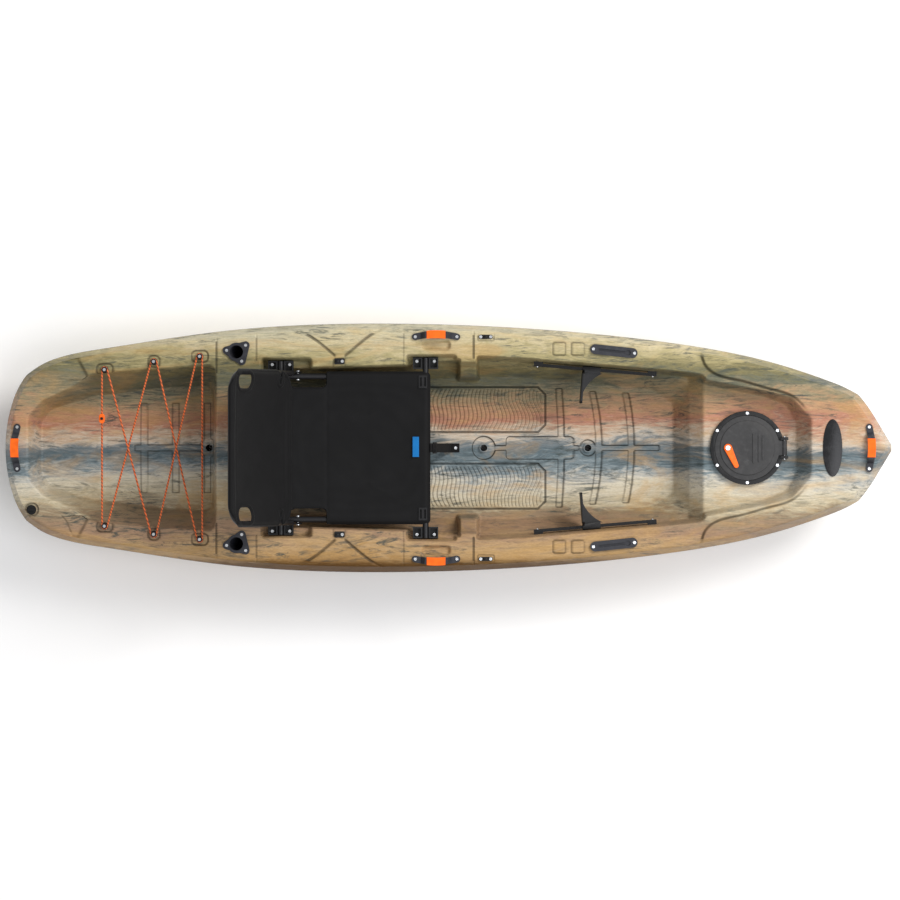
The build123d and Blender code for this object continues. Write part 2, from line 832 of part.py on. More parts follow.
# --- Bow badge -----------------------------------------------------------------------------
with BuildPart() as bow_badge:
    with BuildSketch(Plane(on_ramp(station(1270.5), 0))):
        Ellipse(32, 95)
    extrude(amount=3)
    fillet(bow_badge.edges().group_by(Axis.Z)[-1], 1)
bow_badge.part.label = "bow_badge"
export_step(bow_badge.part, "parts/bow_badge.step")

# --- Bow hatch -----------------------------------------------------------------------------
hatch_plane = Plane(origin=(hatch_x, 0, bow_floor))
seat_z = bow_floor + hatch_seat
gasket_thick = 1.6
lid_low = seat_z + gasket_thick + 0.4
lid_top = lid_low + 9.0
pin_x = hatch_x + hatch_hinge_out
pin_z = bow_floor + 14.0
knuckle_r = 8.0
knuckle_half = 25.0
ear_gap = 1.0
ear_wide = 10.0
notch_half = knuckle_half + ear_gap

with BuildPart() as hatch_ring:
    with BuildSketch(hatch_plane):
        Circle(hatch_ring_r)
    extrude(amount=hatch_ring_tall)
    with BuildSketch(Plane(origin=(hatch_x, 0, bow_floor - hatch_collar_deep))):
        Circle(hatch_bore_r + hatch_collar_wall)
    extrude(amount=hatch_collar_deep)
    for side, _ in SIDES:
        with Locations((hatch_x + hatch_ring_r - 14, side * (notch_half + ear_wide / 2), bow_floor)):
            Box(
                hatch_hinge_out - hatch_ring_r + 14 + 12, ear_wide, 22,
                align=(Align.MIN, Align.CENTER, Align.MIN),
            )
    with BuildSketch(Plane(origin=(hatch_x, 0, seat_z))):
        Circle(hatch_lid_r + hatch_lid_gap)
    extrude(amount=40, mode=Mode.SUBTRACT)
    with BuildSketch(Plane(origin=(hatch_x, 0, bow_floor - 2 * hatch_collar_deep))):
        Circle(hatch_bore_r)
    extrude(amount=100, mode=Mode.SUBTRACT)
    with Locations((hatch_x + hatch_bore_r, 0, seat_z)):
        Box(60, 2 * notch_half, 40, align=(Align.MIN, Align.CENTER, Align.MIN), mode=Mode.SUBTRACT)
    with Locations(Location((pin_x, 0, pin_z), (90, 0, 0))):
        Cylinder(hatch_pin_r + pin_gap, 200, mode=Mode.SUBTRACT)
    screw_holes(ring_screw_places)
hatch_ring.part.label = "hatch_ring"
export_step(hatch_ring.part, "parts/hatch_ring.step")

hatch_screws = screws(ring_screw_places)
hatch_screws.label = "hatch_screws"
export_step(hatch_screws, "parts/hatch_screws.step")

with BuildPart() as hatch_gasket:
    with BuildSketch(Plane(origin=(hatch_x, 0, seat_z))):
        Circle(hatch_bore_r + 9)
        Circle(hatch_bore_r + 2, mode=Mode.SUBTRACT)
    extrude(amount=gasket_thick)
hatch_gasket.part.label = "hatch_gasket"
export_step(hatch_gasket.part, "parts/hatch_gasket.step")

latch_pivot_r = 5.0
disc_r = 91.0
disc_tall = 3.0
latch_x = hatch_x + latch_from_centre
with BuildPart() as hatch_lid:
    with BuildSketch(Plane(origin=(hatch_x, 0, lid_low))):
        Circle(hatch_lid_r)
    extrude(amount=lid_top - lid_low)
    with BuildSketch(Plane(origin=(hatch_x, 0, lid_top))):
        Circle(disc_r)
    extrude(amount=disc_tall)
    fillet(hatch_lid.edges().group_by(Axis.Z)[-1], 2)
    with BuildSketch(Plane(origin=(hatch_x, 0, lid_low))):
        Circle(hatch_bore_r - 1.5)
        Circle(hatch_bore_r - 6, mode=Mode.SUBTRACT)
    extrude(amount=-18)
    with Locations((hatch_x + hatch_lid_r - 12, 0, lid_low)):
        Box(
            pin_x - hatch_x - hatch_lid_r + 12, 2 * knuckle_half, lid_top - lid_low,
            align=(Align.MIN, Align.CENTER, Align.MIN),
        )
    with Locations(Location((pin_x, 0, pin_z), (90, 0, 0))):
        Cylinder(knuckle_r, 2 * knuckle_half)
        Cylinder(hatch_pin_r + pin_gap, 200, mode=Mode.SUBTRACT)
    for ahead, half in ((21, 50), (39, 46), (52, 40)):
        with BuildSketch(Plane(origin=(hatch_x + ahead, 0, lid_top + disc_tall))):
            SlotOverall(2 * half, 6, rotation=90)
        extrude(amount=3)
    with Locations((latch_x, 0, lid_low)):
        Cylinder(latch_pivot_r + pin_gap, 80, mode=Mode.SUBTRACT)
hatch_lid.part.label = "hatch_lid"
export_step(hatch_lid.part, "parts/hatch_lid.step")

with BuildPart() as hatch_hinge_pin:
    with Locations(Location((pin_x, 0, pin_z), (90, 0, 0))):
        Cylinder(hatch_pin_r, 2 * (notch_half + ear_wide + pin_head_gap + pin_head_thick))
    for side, _ in SIDES:
        head_y = side * (notch_half + ear_wide + pin_head_gap + pin_head_thick / 2)
        with Locations(Location((pin_x, head_y, pin_z), (90, 0, 0))):
            Cylinder(hatch_pin_r + 2, pin_head_thick)
hatch_hinge_pin.part.label = "hatch_hinge_pin"
export_step(hatch_hinge_pin.part, "parts/hatch_hinge_pin.step")

latch_thick = 7.0
latch_low = lid_top + disc_tall + 0.3
latch_end = (
    latch_x + latch_long * cos(radians(latch_angle)),
    latch_long * sin(radians(latch_angle)),
)
with BuildPart() as hatch_latch:
    with BuildSketch(Plane.XY.offset(latch_low)):
        with Locations((latch_x, 0)):
            Circle(13.5)
        with Locations(latch_end):
            Circle(8)
        make_hull()
    extrude(amount=latch_thick)
    fillet(hatch_latch.edges().group_by(Axis.Z)[-1], 2)
    with Locations((latch_x, 0, latch_low)):
        Cylinder(latch_pivot_r + pin_gap, 80, mode=Mode.SUBTRACT)
hatch_latch.part.label = "hatch_latch"
export_step(hatch_latch.part, "parts/hatch_latch.step")

with BuildPart() as latch_pivot:
    with Locations((latch_x, 0, lid_low - 3)):
        Cylinder(
            latch_pivot_r, latch_low + latch_thick + 0.4 - lid_low + 3,
            align=(Align.CENTER, Align.CENTER, Align.MIN),
        )
    with Locations((latch_x, 0, latch_low + latch_thick + 0.4)):
        Cylinder(latch_pivot_r + 3, 2.5, align=(Align.CENTER, Align.CENTER, Align.MIN))
    with Locations((latch_x, 0, lid_low - 0.3)):
        Cylinder(latch_pivot_r + 3, 3, align=(Align.CENTER, Align.CENTER, Align.MAX))
latch_pivot.part.label = "latch_pivot"
export_step(latch_pivot.part, "parts/latch_pivot.step")

# --- Seat ----------------------------------------------------------------------------------
hinge_x = seat_front_x - hinge_from_front
hinge_pin_r = 4.0
tongue_thick = 4.0
tongue_y = seat_rail_y + seat_tube_r + 1.5
back_plane = Plane(
    origin=(hinge_x, 0, seat_height),
    x_dir=(0, 1, 0),
    z_dir=(cos(radians(back_recline)), 0, sin(radians(back_recline))),
)
front_bar_half = front_pad[1] - 7.0
rear_bar_half = rear_pad[1] - 7.0


def cross_bar(x, half):
    """A straight seat tube across the kayak."""
    with BuildPart() as bar:
        with BuildSketch(Plane(origin=(x, -half, seat_height), z_dir=(0, 1, 0))):
            Circle(seat_tube_r)
            Circle(seat_tube_r - seat_tube_wall, mode=Mode.SUBTRACT)
        extrude(amount=2 * half)
    return bar.part


seat_front_bar = cross_bar(seat_front_x, front_bar_half)
seat_front_bar.label = "seat_front_bar"
export_step(seat_front_bar, "parts/seat_front_bar.step")
seat_rear_bar = cross_bar(seat_rear_x, rear_bar_half)
seat_rear_bar.label = "seat_rear_bar"
export_step(seat_rear_bar, "parts/seat_rear_bar.step")

with BuildPart() as seat_side_rails:
    for side, _ in SIDES:
        rail_start = (seat_rear_x + seat_tube_wall, side * seat_rail_y, seat_height)
        with BuildSketch(Plane(origin=rail_start, z_dir=(1, 0, 0))):
            Circle(seat_tube_r)
            Circle(seat_tube_r - seat_tube_wall, mode=Mode.SUBTRACT)
        extrude(amount=seat_length - 2 * seat_tube_wall)
    bar_axes = [Location((x, 0, seat_height), (90, 0, 0)) for x in (seat_front_x, seat_rear_x)]
    with Locations(*bar_axes):
        Cylinder(seat_tube_r, 4 * seat_rail_y, mode=Mode.SUBTRACT)
    with Locations(Location((hinge_x, 0, seat_height), (90, 0, 0))):
        Cylinder(hinge_pin_r + pin_gap, 4 * seat_rail_y, mode=Mode.SUBTRACT)
seat_side_rails.part.label = "seat_side_rails"
export_step(seat_side_rails.part, "parts/seat_side_rails.step")

back_corner = 70.0
leg_start = 40.0
back_tube = tube(
    back_tube_r, seat_tube_wall,
    *[
        back_plane.from_local_coords(point)
        for point in (
            (-back_half_width, leg_start), (-back_half_width, back_length),
            (back_half_width, back_length), (back_half_width, leg_start),
        )
    ],
    corner=back_corner,
)
tongue_low, tongue_high, tongue_wide = -12.0, leg_start + 16.0, 16.0
with BuildPart() as seat_back_frame:
    add(back_tube)
    for side, _ in SIDES:
        tongue_middle = Pos(side * (tongue_y + tongue_thick / 2), (tongue_low + tongue_high) / 2)
        with Locations(back_plane.location * tongue_middle):
            Box(tongue_thick, tongue_high - tongue_low, tongue_wide)
        with Locations(
            back_plane.location * Pos(side * back_half_width, leg_start + 0.5) * Rot(90, 0, 0)
        ):
            Cylinder(back_tube_r - 1, 1)
    with Locations(Location((hinge_x, 0, seat_height), (90, 0, 0))):
        Cylinder(hinge_pin_r + pin_gap, 4 * seat_rail_y, mode=Mode.SUBTRACT)
seat_back_frame.part.label = "seat_back_frame"
export_step(seat_back_frame.part, "parts/seat_back_frame.step")

pin_inner = seat_rail_y - seat_tube_r - pin_head_gap
pin_outer = tongue_y + tongue_thick + pin_head_gap
with BuildPart() as seat_hinge_pins:
    for side, _ in SIDES:
        for near, far, radius in (
            (pin_inner - pin_head_thick, pin_outer + pin_head_thick, hinge_pin_r),
            (pin_inner - pin_head_thick, pin_inner, hinge_pin_r + 2.5),
            (pin_outer, pin_outer + pin_head_thick, hinge_pin_r + 2.5),
        ):
            with Locations(Location((hinge_x, side * (near + far) / 2, seat_height), (90, 0, 0))):
                Cylinder(radius, far - near)
seat_hinge_pins.part.label = "seat_hinge_pins"
export_step(seat_hinge_pins.part, "parts/seat_hinge_pins.step")

with BuildPart() as hinge_washers:
    for side, _ in SIDES:
        middle = (seat_rail_y + seat_tube_r + tongue_y) / 2
        with Locations(Location((hinge_x, side * middle, seat_height), (90, 0, 0))):
            Cylinder(7.5, tongue_y - seat_rail_y - seat_tube_r - 0.3)
            Cylinder(hinge_pin_r + pin_gap, 10, mode=Mode.SUBTRACT)
hinge_washers.part.label = "hinge_washers"
export_step(hinge_washers.part, "parts/hinge_washers.step")

# The base sling lies on the tubes and folds down over the side rails and the front bar.
sling_low = seat_height + seat_tube_r + sling_gap
sling_top = sling_low + sling_thick
sling_half = seat_rail_y + seat_tube_r + sling_gap + sling_thick
sling_front = seat_front_x + seat_tube_r + sling_gap + sling_thick
sling_rear = hinge_x - 22.0
skirt_drop = 20.0
notch_far, notch_y = 96.0, 200.0  # from the hinge, and from the centreline
with BuildPart() as seat_base_sling:
    with BuildSketch(Plane.XY.offset(sling_low)):
        with BuildLine():
            Polyline(
                (sling_rear, -notch_y), (sling_rear, notch_y), (hinge_x + notch_far, notch_y),
                (hinge_x + notch_far, sling_half), (sling_front, sling_half),
                (sling_front, -sling_half), (hinge_x + notch_far, -sling_half),
                (hinge_x + notch_far, -notch_y), close=True,
            )
        make_face()
    extrude(amount=sling_thick)
    skirt_rear = hinge_x + notch_far
    skirt_front = seat_front_x - seat_tube_r - 4.0
    for side, _ in SIDES:
        with Locations(
            (
                (skirt_rear + skirt_front) / 2,
                side * (sling_half - sling_thick / 2),
                sling_low - skirt_drop / 2,
            )
        ):
            Box(skirt_front - skirt_rear, sling_thick, skirt_drop)
    with Locations((sling_front - sling_thick / 2, 0, sling_low - skirt_drop / 2)):
        Box(sling_thick, 2 * sling_half, skirt_drop)
    fillet(
        seat_base_sling.edges().filter_by(Axis.Z).group_by(Axis.X)[-1], 3
    )
seat_base_sling.part.label = "seat_base_sling"
export_step(seat_base_sling.part, "parts/seat_base_sling.step")

panel_start = 62.0
hand_hole_x, hand_hole_y = 219.0, 338.0
hand_hole_long, hand_hole_wide = 84.0, 54.0
panel_half = back_half_width + back_tube_r
panel_end = back_length + back_tube_r
with BuildPart() as seat_back_sling:
    with BuildSketch(back_plane.offset(back_tube_r + sling_gap)) as panel:
        with Locations((0, (panel_start + panel_end) / 2)):
            Rectangle(2 * panel_half, panel_end - panel_start)
        fillet(panel.vertices().group_by(Axis.Y)[-1], back_corner)
        fillet(panel.vertices().group_by(Axis.Y)[0], 20)
        with Locations((-hand_hole_x, hand_hole_y), (hand_hole_x, hand_hole_y)):
            SlotOverall(hand_hole_long, hand_hole_wide, rotation=90, mode=Mode.SUBTRACT)
    extrude(amount=sling_thick)
seat_back_sling.part.label = "seat_back_sling"
export_step(seat_back_sling.part, "parts/seat_back_sling.step")

with BuildPart() as seat_tag:
    with Locations((seat_front_x - 32.5, 3.5, sling_top + 0.2)):
        Box(21, 67, 1.2, align=(Align.CENTER, Align.CENTER, Align.MIN))
seat_tag.part.label = "seat_tag"
export_step(seat_tag.part, "parts/seat_tag.step")

# --- Seat brackets -------------------------------------------------------------------------
pocket_long, pocket_wide = 22.0, 28.0
for label, middles in (
    ("seat_front_brackets", bracket_places[:2]),
    ("seat_rear_brackets", bracket_places[2:]),
):
    with BuildPart() as seat_brackets:
        with Locations(*middles):
            Box(
                bracket_long, bracket_wide, bracket_tall,
                align=(Align.CENTER, Align.CENTER, Align.MIN),
            )
        with Locations(*[place * Pos(0, 0, seat_height - seat_pad_height) for place in middles]):
            Box(
                2 * (seat_tube_r + sling_gap), 2 * bracket_wide, bracket_tall,
                align=(Align.CENTER, Align.CENTER, Align.MIN), mode=Mode.SUBTRACT,
            )
        with Locations(*[
            place * Pos(0, 0, seat_height - seat_pad_height) * Rot(90, 0, 0) for place in middles
        ]):
            Cylinder(seat_tube_r + sling_gap, 2 * bracket_wide, mode=Mode.SUBTRACT)
        with Locations(*[
            place * Pos(end * (bracket_long / 2 - 4 - pocket_long / 2), 0, 4)
            for place in middles
            for end in (-1, 1)
        ]):
            Box(
                pocket_long, pocket_wide, bracket_tall,
                align=(Align.CENTER, Align.CENTER, Align.MIN), mode=Mode.SUBTRACT,
            )
        with Locations(*bracket_screw_places):
            Cylinder(screw_shank_r + screw_gap, 60, mode=Mode.SUBTRACT)
    seat_brackets.part.label = label
    export_step(seat_brackets.part, f"parts/{label}.step")

seat_bracket_screws = screws(bracket_screw_places)
seat_bracket_screws.label = "seat_bracket_screws"
export_step(seat_bracket_screws, "parts/seat_bracket_screws.step")

# --- Sling buckles and the strap to the floor ----------------------------------------------
with BuildPart() as sling_buckles:
    for side, _ in SIDES:
        with Locations((seat_front_x - 9, side * (sling_half - 33), sling_top + 0.3)):
            Box(28, 42, 4, align=(Align.CENTER, Align.CENTER, Align.MIN))
        with Locations((seat_front_x - 9, side * (sling_half - 33), sling_top)):
            with GridLocations(14, 1, 2, 1):
                Box(6, 30, 20, mode=Mode.SUBTRACT)
sling_buckles.part.label = "sling_buckles"
export_step(sling_buckles.part, "parts/sling_buckles.step")

strap_wide = 30.0
strap_thick = 2.0
strap_end_x = station(37)
strap_screw_x = station(24)
strap_foot_x = station(8)
strap_top = (sling_front + 0.6, seat_height + 6.0)
strap_places = [Location((strap_screw_x, 0, cockpit_floor + strap_thick + 0.4))]
strap_low = cockpit_floor + 0.4
with BuildPart() as seat_strap:
    with BuildSketch(Plane.XZ):
        with BuildLine():
            Polyline(
                strap_top, (strap_top[0] + strap_thick, strap_top[1]),
                (strap_foot_x + 1.5, strap_low + strap_thick),
                (strap_end_x, strap_low + strap_thick),
                (strap_end_x, strap_low), (strap_foot_x, strap_low), close=True,
            )
        make_face()
    extrude(amount=strap_wide / 2, both=True)
    screw_holes(strap_places)
seat_strap.part.label = "seat_strap"
export_step(seat_strap.part, "parts/seat_strap.step")

seat_strap_screw = screws(strap_places)
seat_strap_screw.label = "seat_strap_screw"
export_step(seat_strap_screw, "parts/seat_strap_screw.step")

strap_run = Vector(strap_foot_x - strap_top[0], 0, strap_low - strap_top[1])
buckle_at = Vector(strap_top[0] + strap_thick, 0, strap_top[1]) + strap_run * 0.16
with BuildPart() as strap_buckle:
    with BuildSketch(
        Plane(origin=buckle_at, x_dir=strap_run, z_dir=(-strap_run.Z, 0, strap_run.X)).offset(0.5)
    ):
        RectangleRounded(34, strap_wide + 8, 4)
        with Locations((-7, 0), (7, 0)):
            Rectangle(6, strap_wide, mode=Mode.SUBTRACT)
    extrude(amount=3.5)
strap_buckle.part.label = "strap_buckle"
export_step(strap_buckle.part, "parts/strap_buckle.step")

# --- Bungee --------------------------------------------------------------------------------
cord_end_gap = 0.5
cord_start = lock_point + (corners[1] - corners[0]).normalized() * cord_end_gap
cord_finish = lock_point - (corners[1] - corners[0]).normalized() * cord_end_gap
cord_route = [cord_start, *corners[1:], corners[0], cord_finish]
with BuildPart() as bungee_cord:
    with BuildLine() as cord_line:
        FilletPolyline(*cord_route, radius=cord_turn_r)
    with BuildSketch(Plane(origin=cord_line.line @ 0, z_dir=cord_line.line % 0)):
        Circle(cord_r)
    sweep()
bungee_cord.part.label = "bungee_cord"
export_step(bungee_cord.part, "parts/bungee_cord.step")

hook_cap_tall = 3.0
hook_post_tall = cord_levels[1] + cord_r + cord_gap - deck_height - hook_base_tall
with BuildPart() as bungee_hooks:
    for place in hook_places:
        with BuildSketch(Plane(place)):
            Circle(12)
        extrude(amount=hook_base_tall)
        with BuildSketch(Plane(place * Pos(0, 0, hook_base_tall))):
            Circle(hook_post_r)
        extrude(amount=hook_post_tall)
        with BuildSketch(Plane(place * Pos(0, 0, hook_base_tall + hook_post_tall))):
            Circle(hook_post_r + 4)
        extrude(amount=hook_cap_tall)
    with Locations(*hook_places):
        Cylinder(screw_shank_r + screw_gap, 80, mode=Mode.SUBTRACT)
bungee_hooks.part.label = "bungee_hooks"
export_step(bungee_hooks.part, "parts/bungee_hooks.step")

hook_top = hook_base_tall + hook_post_tall + hook_cap_tall
hook_screw_long = hook_top + 10.0
with BuildPart() as hook_screws:
    with Locations(*[place * Pos(0, 0, hook_top) for place in hook_places]):
        Cylinder(
            screw_shank_r, hook_screw_long, align=(Align.CENTER, Align.CENTER, Align.MAX)
        )
        Cylinder(screw_head_r, screw_head_tall, align=(Align.CENTER, Align.CENTER, Align.MIN))
hook_screws.part.label = "hook_screws"
export_step(hook_screws.part, "parts/hook_screws.step")

# --- Cord lock -----------------------------------------------------------------------------
lock_long, lock_wide, lock_tall = 32.0, 19.0, 17.0
button_r = 4.5
button_travel = 3.0
button_top = lock_tall / 2 + 5.0
button_floor = -lock_tall / 2 + 1.5
button_low = -3.9
at_lock = lock_place.location * Pos(0, 0, 2.0)
with BuildPart() as cord_lock:
    with BuildSketch(Plane(at_lock * Pos(0, 0, -lock_tall / 2))):
        SlotOverall(lock_long, lock_wide)
    extrude(amount=lock_tall)
    fillet(cord_lock.edges().filter_by(GeomType.LINE, reverse=True), 3)
    with Locations(lock_place.location * Rot(0, 90, 0)):
        Cylinder(cord_r + lock_bore_gap, 4 * lock_long, mode=Mode.SUBTRACT)
    with Locations(at_lock * Pos(0, 0, button_floor)):
        Cylinder(
            button_r + 0.2, lock_tall,
            align=(Align.CENTER, Align.CENTER, Align.MIN), mode=Mode.SUBTRACT,
        )
cord_lock.part.label = "cord_lock"
export_step(cord_lock.part, "parts/cord_lock.step")

with BuildPart() as cord_lock_button:
    with Locations(at_lock * Pos(0, 0, button_low)):
        Cylinder(button_r, button_top - button_low, align=(Align.CENTER, Align.CENTER, Align.MIN))
    fillet(cord_lock_button.edges().group_by(Axis.Z)[-1], 1)
    cord_slot_high = button_travel + cord_r + lock_bore_gap
    for rise in (0, cord_slot_high - cord_r - lock_bore_gap):
        with Locations(lock_place.location * Pos(0, 0, rise) * Rot(0, 90, 0)):
            Cylinder(cord_r + lock_bore_gap, 60, mode=Mode.SUBTRACT)
    with Locations(lock_place.location):
        Box(
            60, 2 * (cord_r + lock_bore_gap), button_travel,
            align=(Align.CENTER, Align.CENTER, Align.MIN), mode=Mode.SUBTRACT,
        )
cord_lock_button.part.label = "cord_lock_button"
export_step(cord_lock_button.part, "parts/cord_lock_button.step")
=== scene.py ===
"""Looks of a sit-on-top fishing kayak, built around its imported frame."""

import json
import math
from functools import partial

import bmesh
import bpy
import numpy as np
from bpy.props import FloatProperty, FloatVectorProperty, PointerProperty
from bpy.types import Operator, Panel, PropertyGroup
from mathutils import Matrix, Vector

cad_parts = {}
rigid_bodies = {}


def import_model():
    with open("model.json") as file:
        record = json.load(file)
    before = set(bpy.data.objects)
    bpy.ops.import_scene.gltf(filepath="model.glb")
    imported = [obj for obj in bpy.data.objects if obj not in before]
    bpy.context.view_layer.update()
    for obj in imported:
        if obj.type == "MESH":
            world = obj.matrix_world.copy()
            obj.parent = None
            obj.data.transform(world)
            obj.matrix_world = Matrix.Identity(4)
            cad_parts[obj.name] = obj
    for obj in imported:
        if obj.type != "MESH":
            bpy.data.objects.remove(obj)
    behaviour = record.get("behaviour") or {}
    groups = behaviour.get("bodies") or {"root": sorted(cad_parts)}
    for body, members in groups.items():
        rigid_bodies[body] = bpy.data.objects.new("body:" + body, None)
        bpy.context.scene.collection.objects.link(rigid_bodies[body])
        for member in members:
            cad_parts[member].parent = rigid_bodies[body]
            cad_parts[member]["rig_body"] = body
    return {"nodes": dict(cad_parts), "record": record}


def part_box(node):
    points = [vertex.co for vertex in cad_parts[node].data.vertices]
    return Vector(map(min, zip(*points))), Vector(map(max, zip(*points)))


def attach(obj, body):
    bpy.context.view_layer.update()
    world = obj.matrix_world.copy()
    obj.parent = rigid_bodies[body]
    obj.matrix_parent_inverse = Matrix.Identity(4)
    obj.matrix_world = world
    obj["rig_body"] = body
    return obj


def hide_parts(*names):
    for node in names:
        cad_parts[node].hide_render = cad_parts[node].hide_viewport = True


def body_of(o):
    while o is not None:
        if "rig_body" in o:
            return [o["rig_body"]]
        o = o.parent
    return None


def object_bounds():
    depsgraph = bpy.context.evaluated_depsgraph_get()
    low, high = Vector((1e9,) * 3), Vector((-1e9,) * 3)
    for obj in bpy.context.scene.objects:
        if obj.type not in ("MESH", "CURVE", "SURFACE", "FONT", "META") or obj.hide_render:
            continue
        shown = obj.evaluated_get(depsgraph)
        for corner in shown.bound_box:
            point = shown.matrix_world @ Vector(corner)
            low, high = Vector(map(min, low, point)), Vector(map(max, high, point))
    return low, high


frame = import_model()
cad_box = [list(corner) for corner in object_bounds()]

bl_info = {
    "name": "Fishing Kayak",
    "version": (1, 0, 0),
    "blender": (4, 5, 0),
    "location": "View3D > Sidebar > Kayak",
    "description": "Builds the shells, seat, fittings and studio of a fishing kayak",
    "category": "Object",
}

MM = 0.001
nodes = frame["nodes"]


# --- Colours and sizes ---------------------------------------------------------------------
def linear(hex_colour):
    """A linear RGBA colour from an sRGB hex value."""
    parts = [int(hex_colour[i : i + 2], 16) / 255 for i in (0, 2, 4)]
    parts = [c / 12.92 if c <= 0.04045 else ((c + 0.055) / 1.055) ** 2.4 for c in parts]
    return (*parts, 1.0)


def colour_property(name, description, hex_colour):
    """A colour a user can change."""
    return FloatVectorProperty(
        name=name, description=description, subtype="COLOR", size=4, min=0, max=1,
        default=linear(hex_colour),
    )


def length_property(name, description, millimetres):
    """A length a user can change."""
    return FloatProperty(
        name=name, description=description, unit="LENGTH", min=0, default=millimetres * MM
    )


class KayakColours(PropertyGroup):
    """Colours of the kayak's plastics, fabrics and cord."""

    khaki: colour_property("Khaki", "Light tan of the side decks", "BBAE8B")
    rose: colour_property("Rose", "Warm band left of the keel line", "A97762")
    cream: colour_property("Cream", "Palest band", "C4BCA9")
    slate: colour_property("Slate", "Blue grey band on the keel line", "56646A")
    # The right rim's brown, darkened further as painted shade, since that rim faces away from the
    # key light.
    rim_umber_and_shade: colour_property("Umber", "Dark brown of the right rim", "4C310F")
    fabric: colour_property("Seat fabric", "Coated polyester of the seat", "131314")
    orange: colour_property("Orange", "Grips, cord lock and latch", "FF6A10")
    cord: colour_property("Cord", "Sheath of the bungee cord", "C65A1E")
    dark: colour_property("Dark plastic", "Rod holders and tracks", "2B2C32")
    lid: colour_property("Lid plastic", "Hatch lid", "353536")
    tag: colour_property("Tag", "Woven tag on the seat", "1668A8")
    floor: colour_property("Studio floor", "Pale floor under the kayak", "FFFFFF")


class KayakSizes(PropertyGroup):
    """Sizes of the moulded detail and the seat."""

    edge_round: length_property("Edge rounding", "Rounding of the moulded edges", 3.2)
    channel: length_property("Channel depth", "Depth of the drain channels", 6.0)
    rib_pitch: length_property("Rib pitch", "Spacing of the foot pads' ribs", 13.0)
    rib_height: length_property("Rib height", "Height of the foot pads' ribs", 2.6)
    base_sag: length_property("Seat sag", "How far the seat's base sags", 12.0)
    back_sag: length_property("Back sag", "How far the backrest bows", 16.0)


def colour(name):
    """A colour from the panel, as a plain tuple."""
    return tuple(getattr(bpy.context.scene.kayak_colours, name))


def size(name):
    """A size from the panel, in millimetres."""
    return getattr(bpy.context.scene.kayak_sizes, name) / MM


# --- Materials -----------------------------------------------------------------------------
def add_node(tree, kind, inputs, stops=(), into=None, **settings):
    """Adds a shader node of a kind. Each input is another node's socket or a plain value.

    stops are the places and colours of a ramp, and into is a socket its first output feeds.
    """
    node = tree.nodes.new("ShaderNode" + kind)
    for key, value in settings.items():
        setattr(node, key, value)
    for key, value in inputs.items():
        if isinstance(value, bpy.types.NodeSocket):
            tree.links.new(value, node.inputs[key])
        else:
            node.inputs[key].default_value = value
    for number, (position, shade) in enumerate(stops):
        if number >= len(node.color_ramp.elements):
            node.color_ramp.elements.new(position)
        node.color_ramp.elements[number].position = position
        node.color_ramp.elements[number].color = shade
    if into:
        tree.links.new(node.outputs[0], into)
    return node


def start_material(name, roughness, **sockets):
    """A new material, what adds nodes to it, its shader and the object's coordinates."""
    material = bpy.data.materials.new(name)
    material.use_nodes = True
    tree = material.node_tree
    shader = tree.nodes["Principled BSDF"]
    shader.inputs["Roughness"].default_value = roughness
    for key, value in sockets.items():
        shader.inputs[key.replace("_", " ")].default_value = value
    add = partial(add_node, tree)
    place = add("TexCoord", {}).outputs["Object"]
    return material, add, shader, place


def grey(value):
    """An opaque grey."""
    return (value, value, value, 1.0)


def scaled(shade, factor, lift=0.0):
    """A colour made lighter or darker."""
    return tuple(min(1.0, c * factor + lift) for c in shade[:3]) + (1.0,)


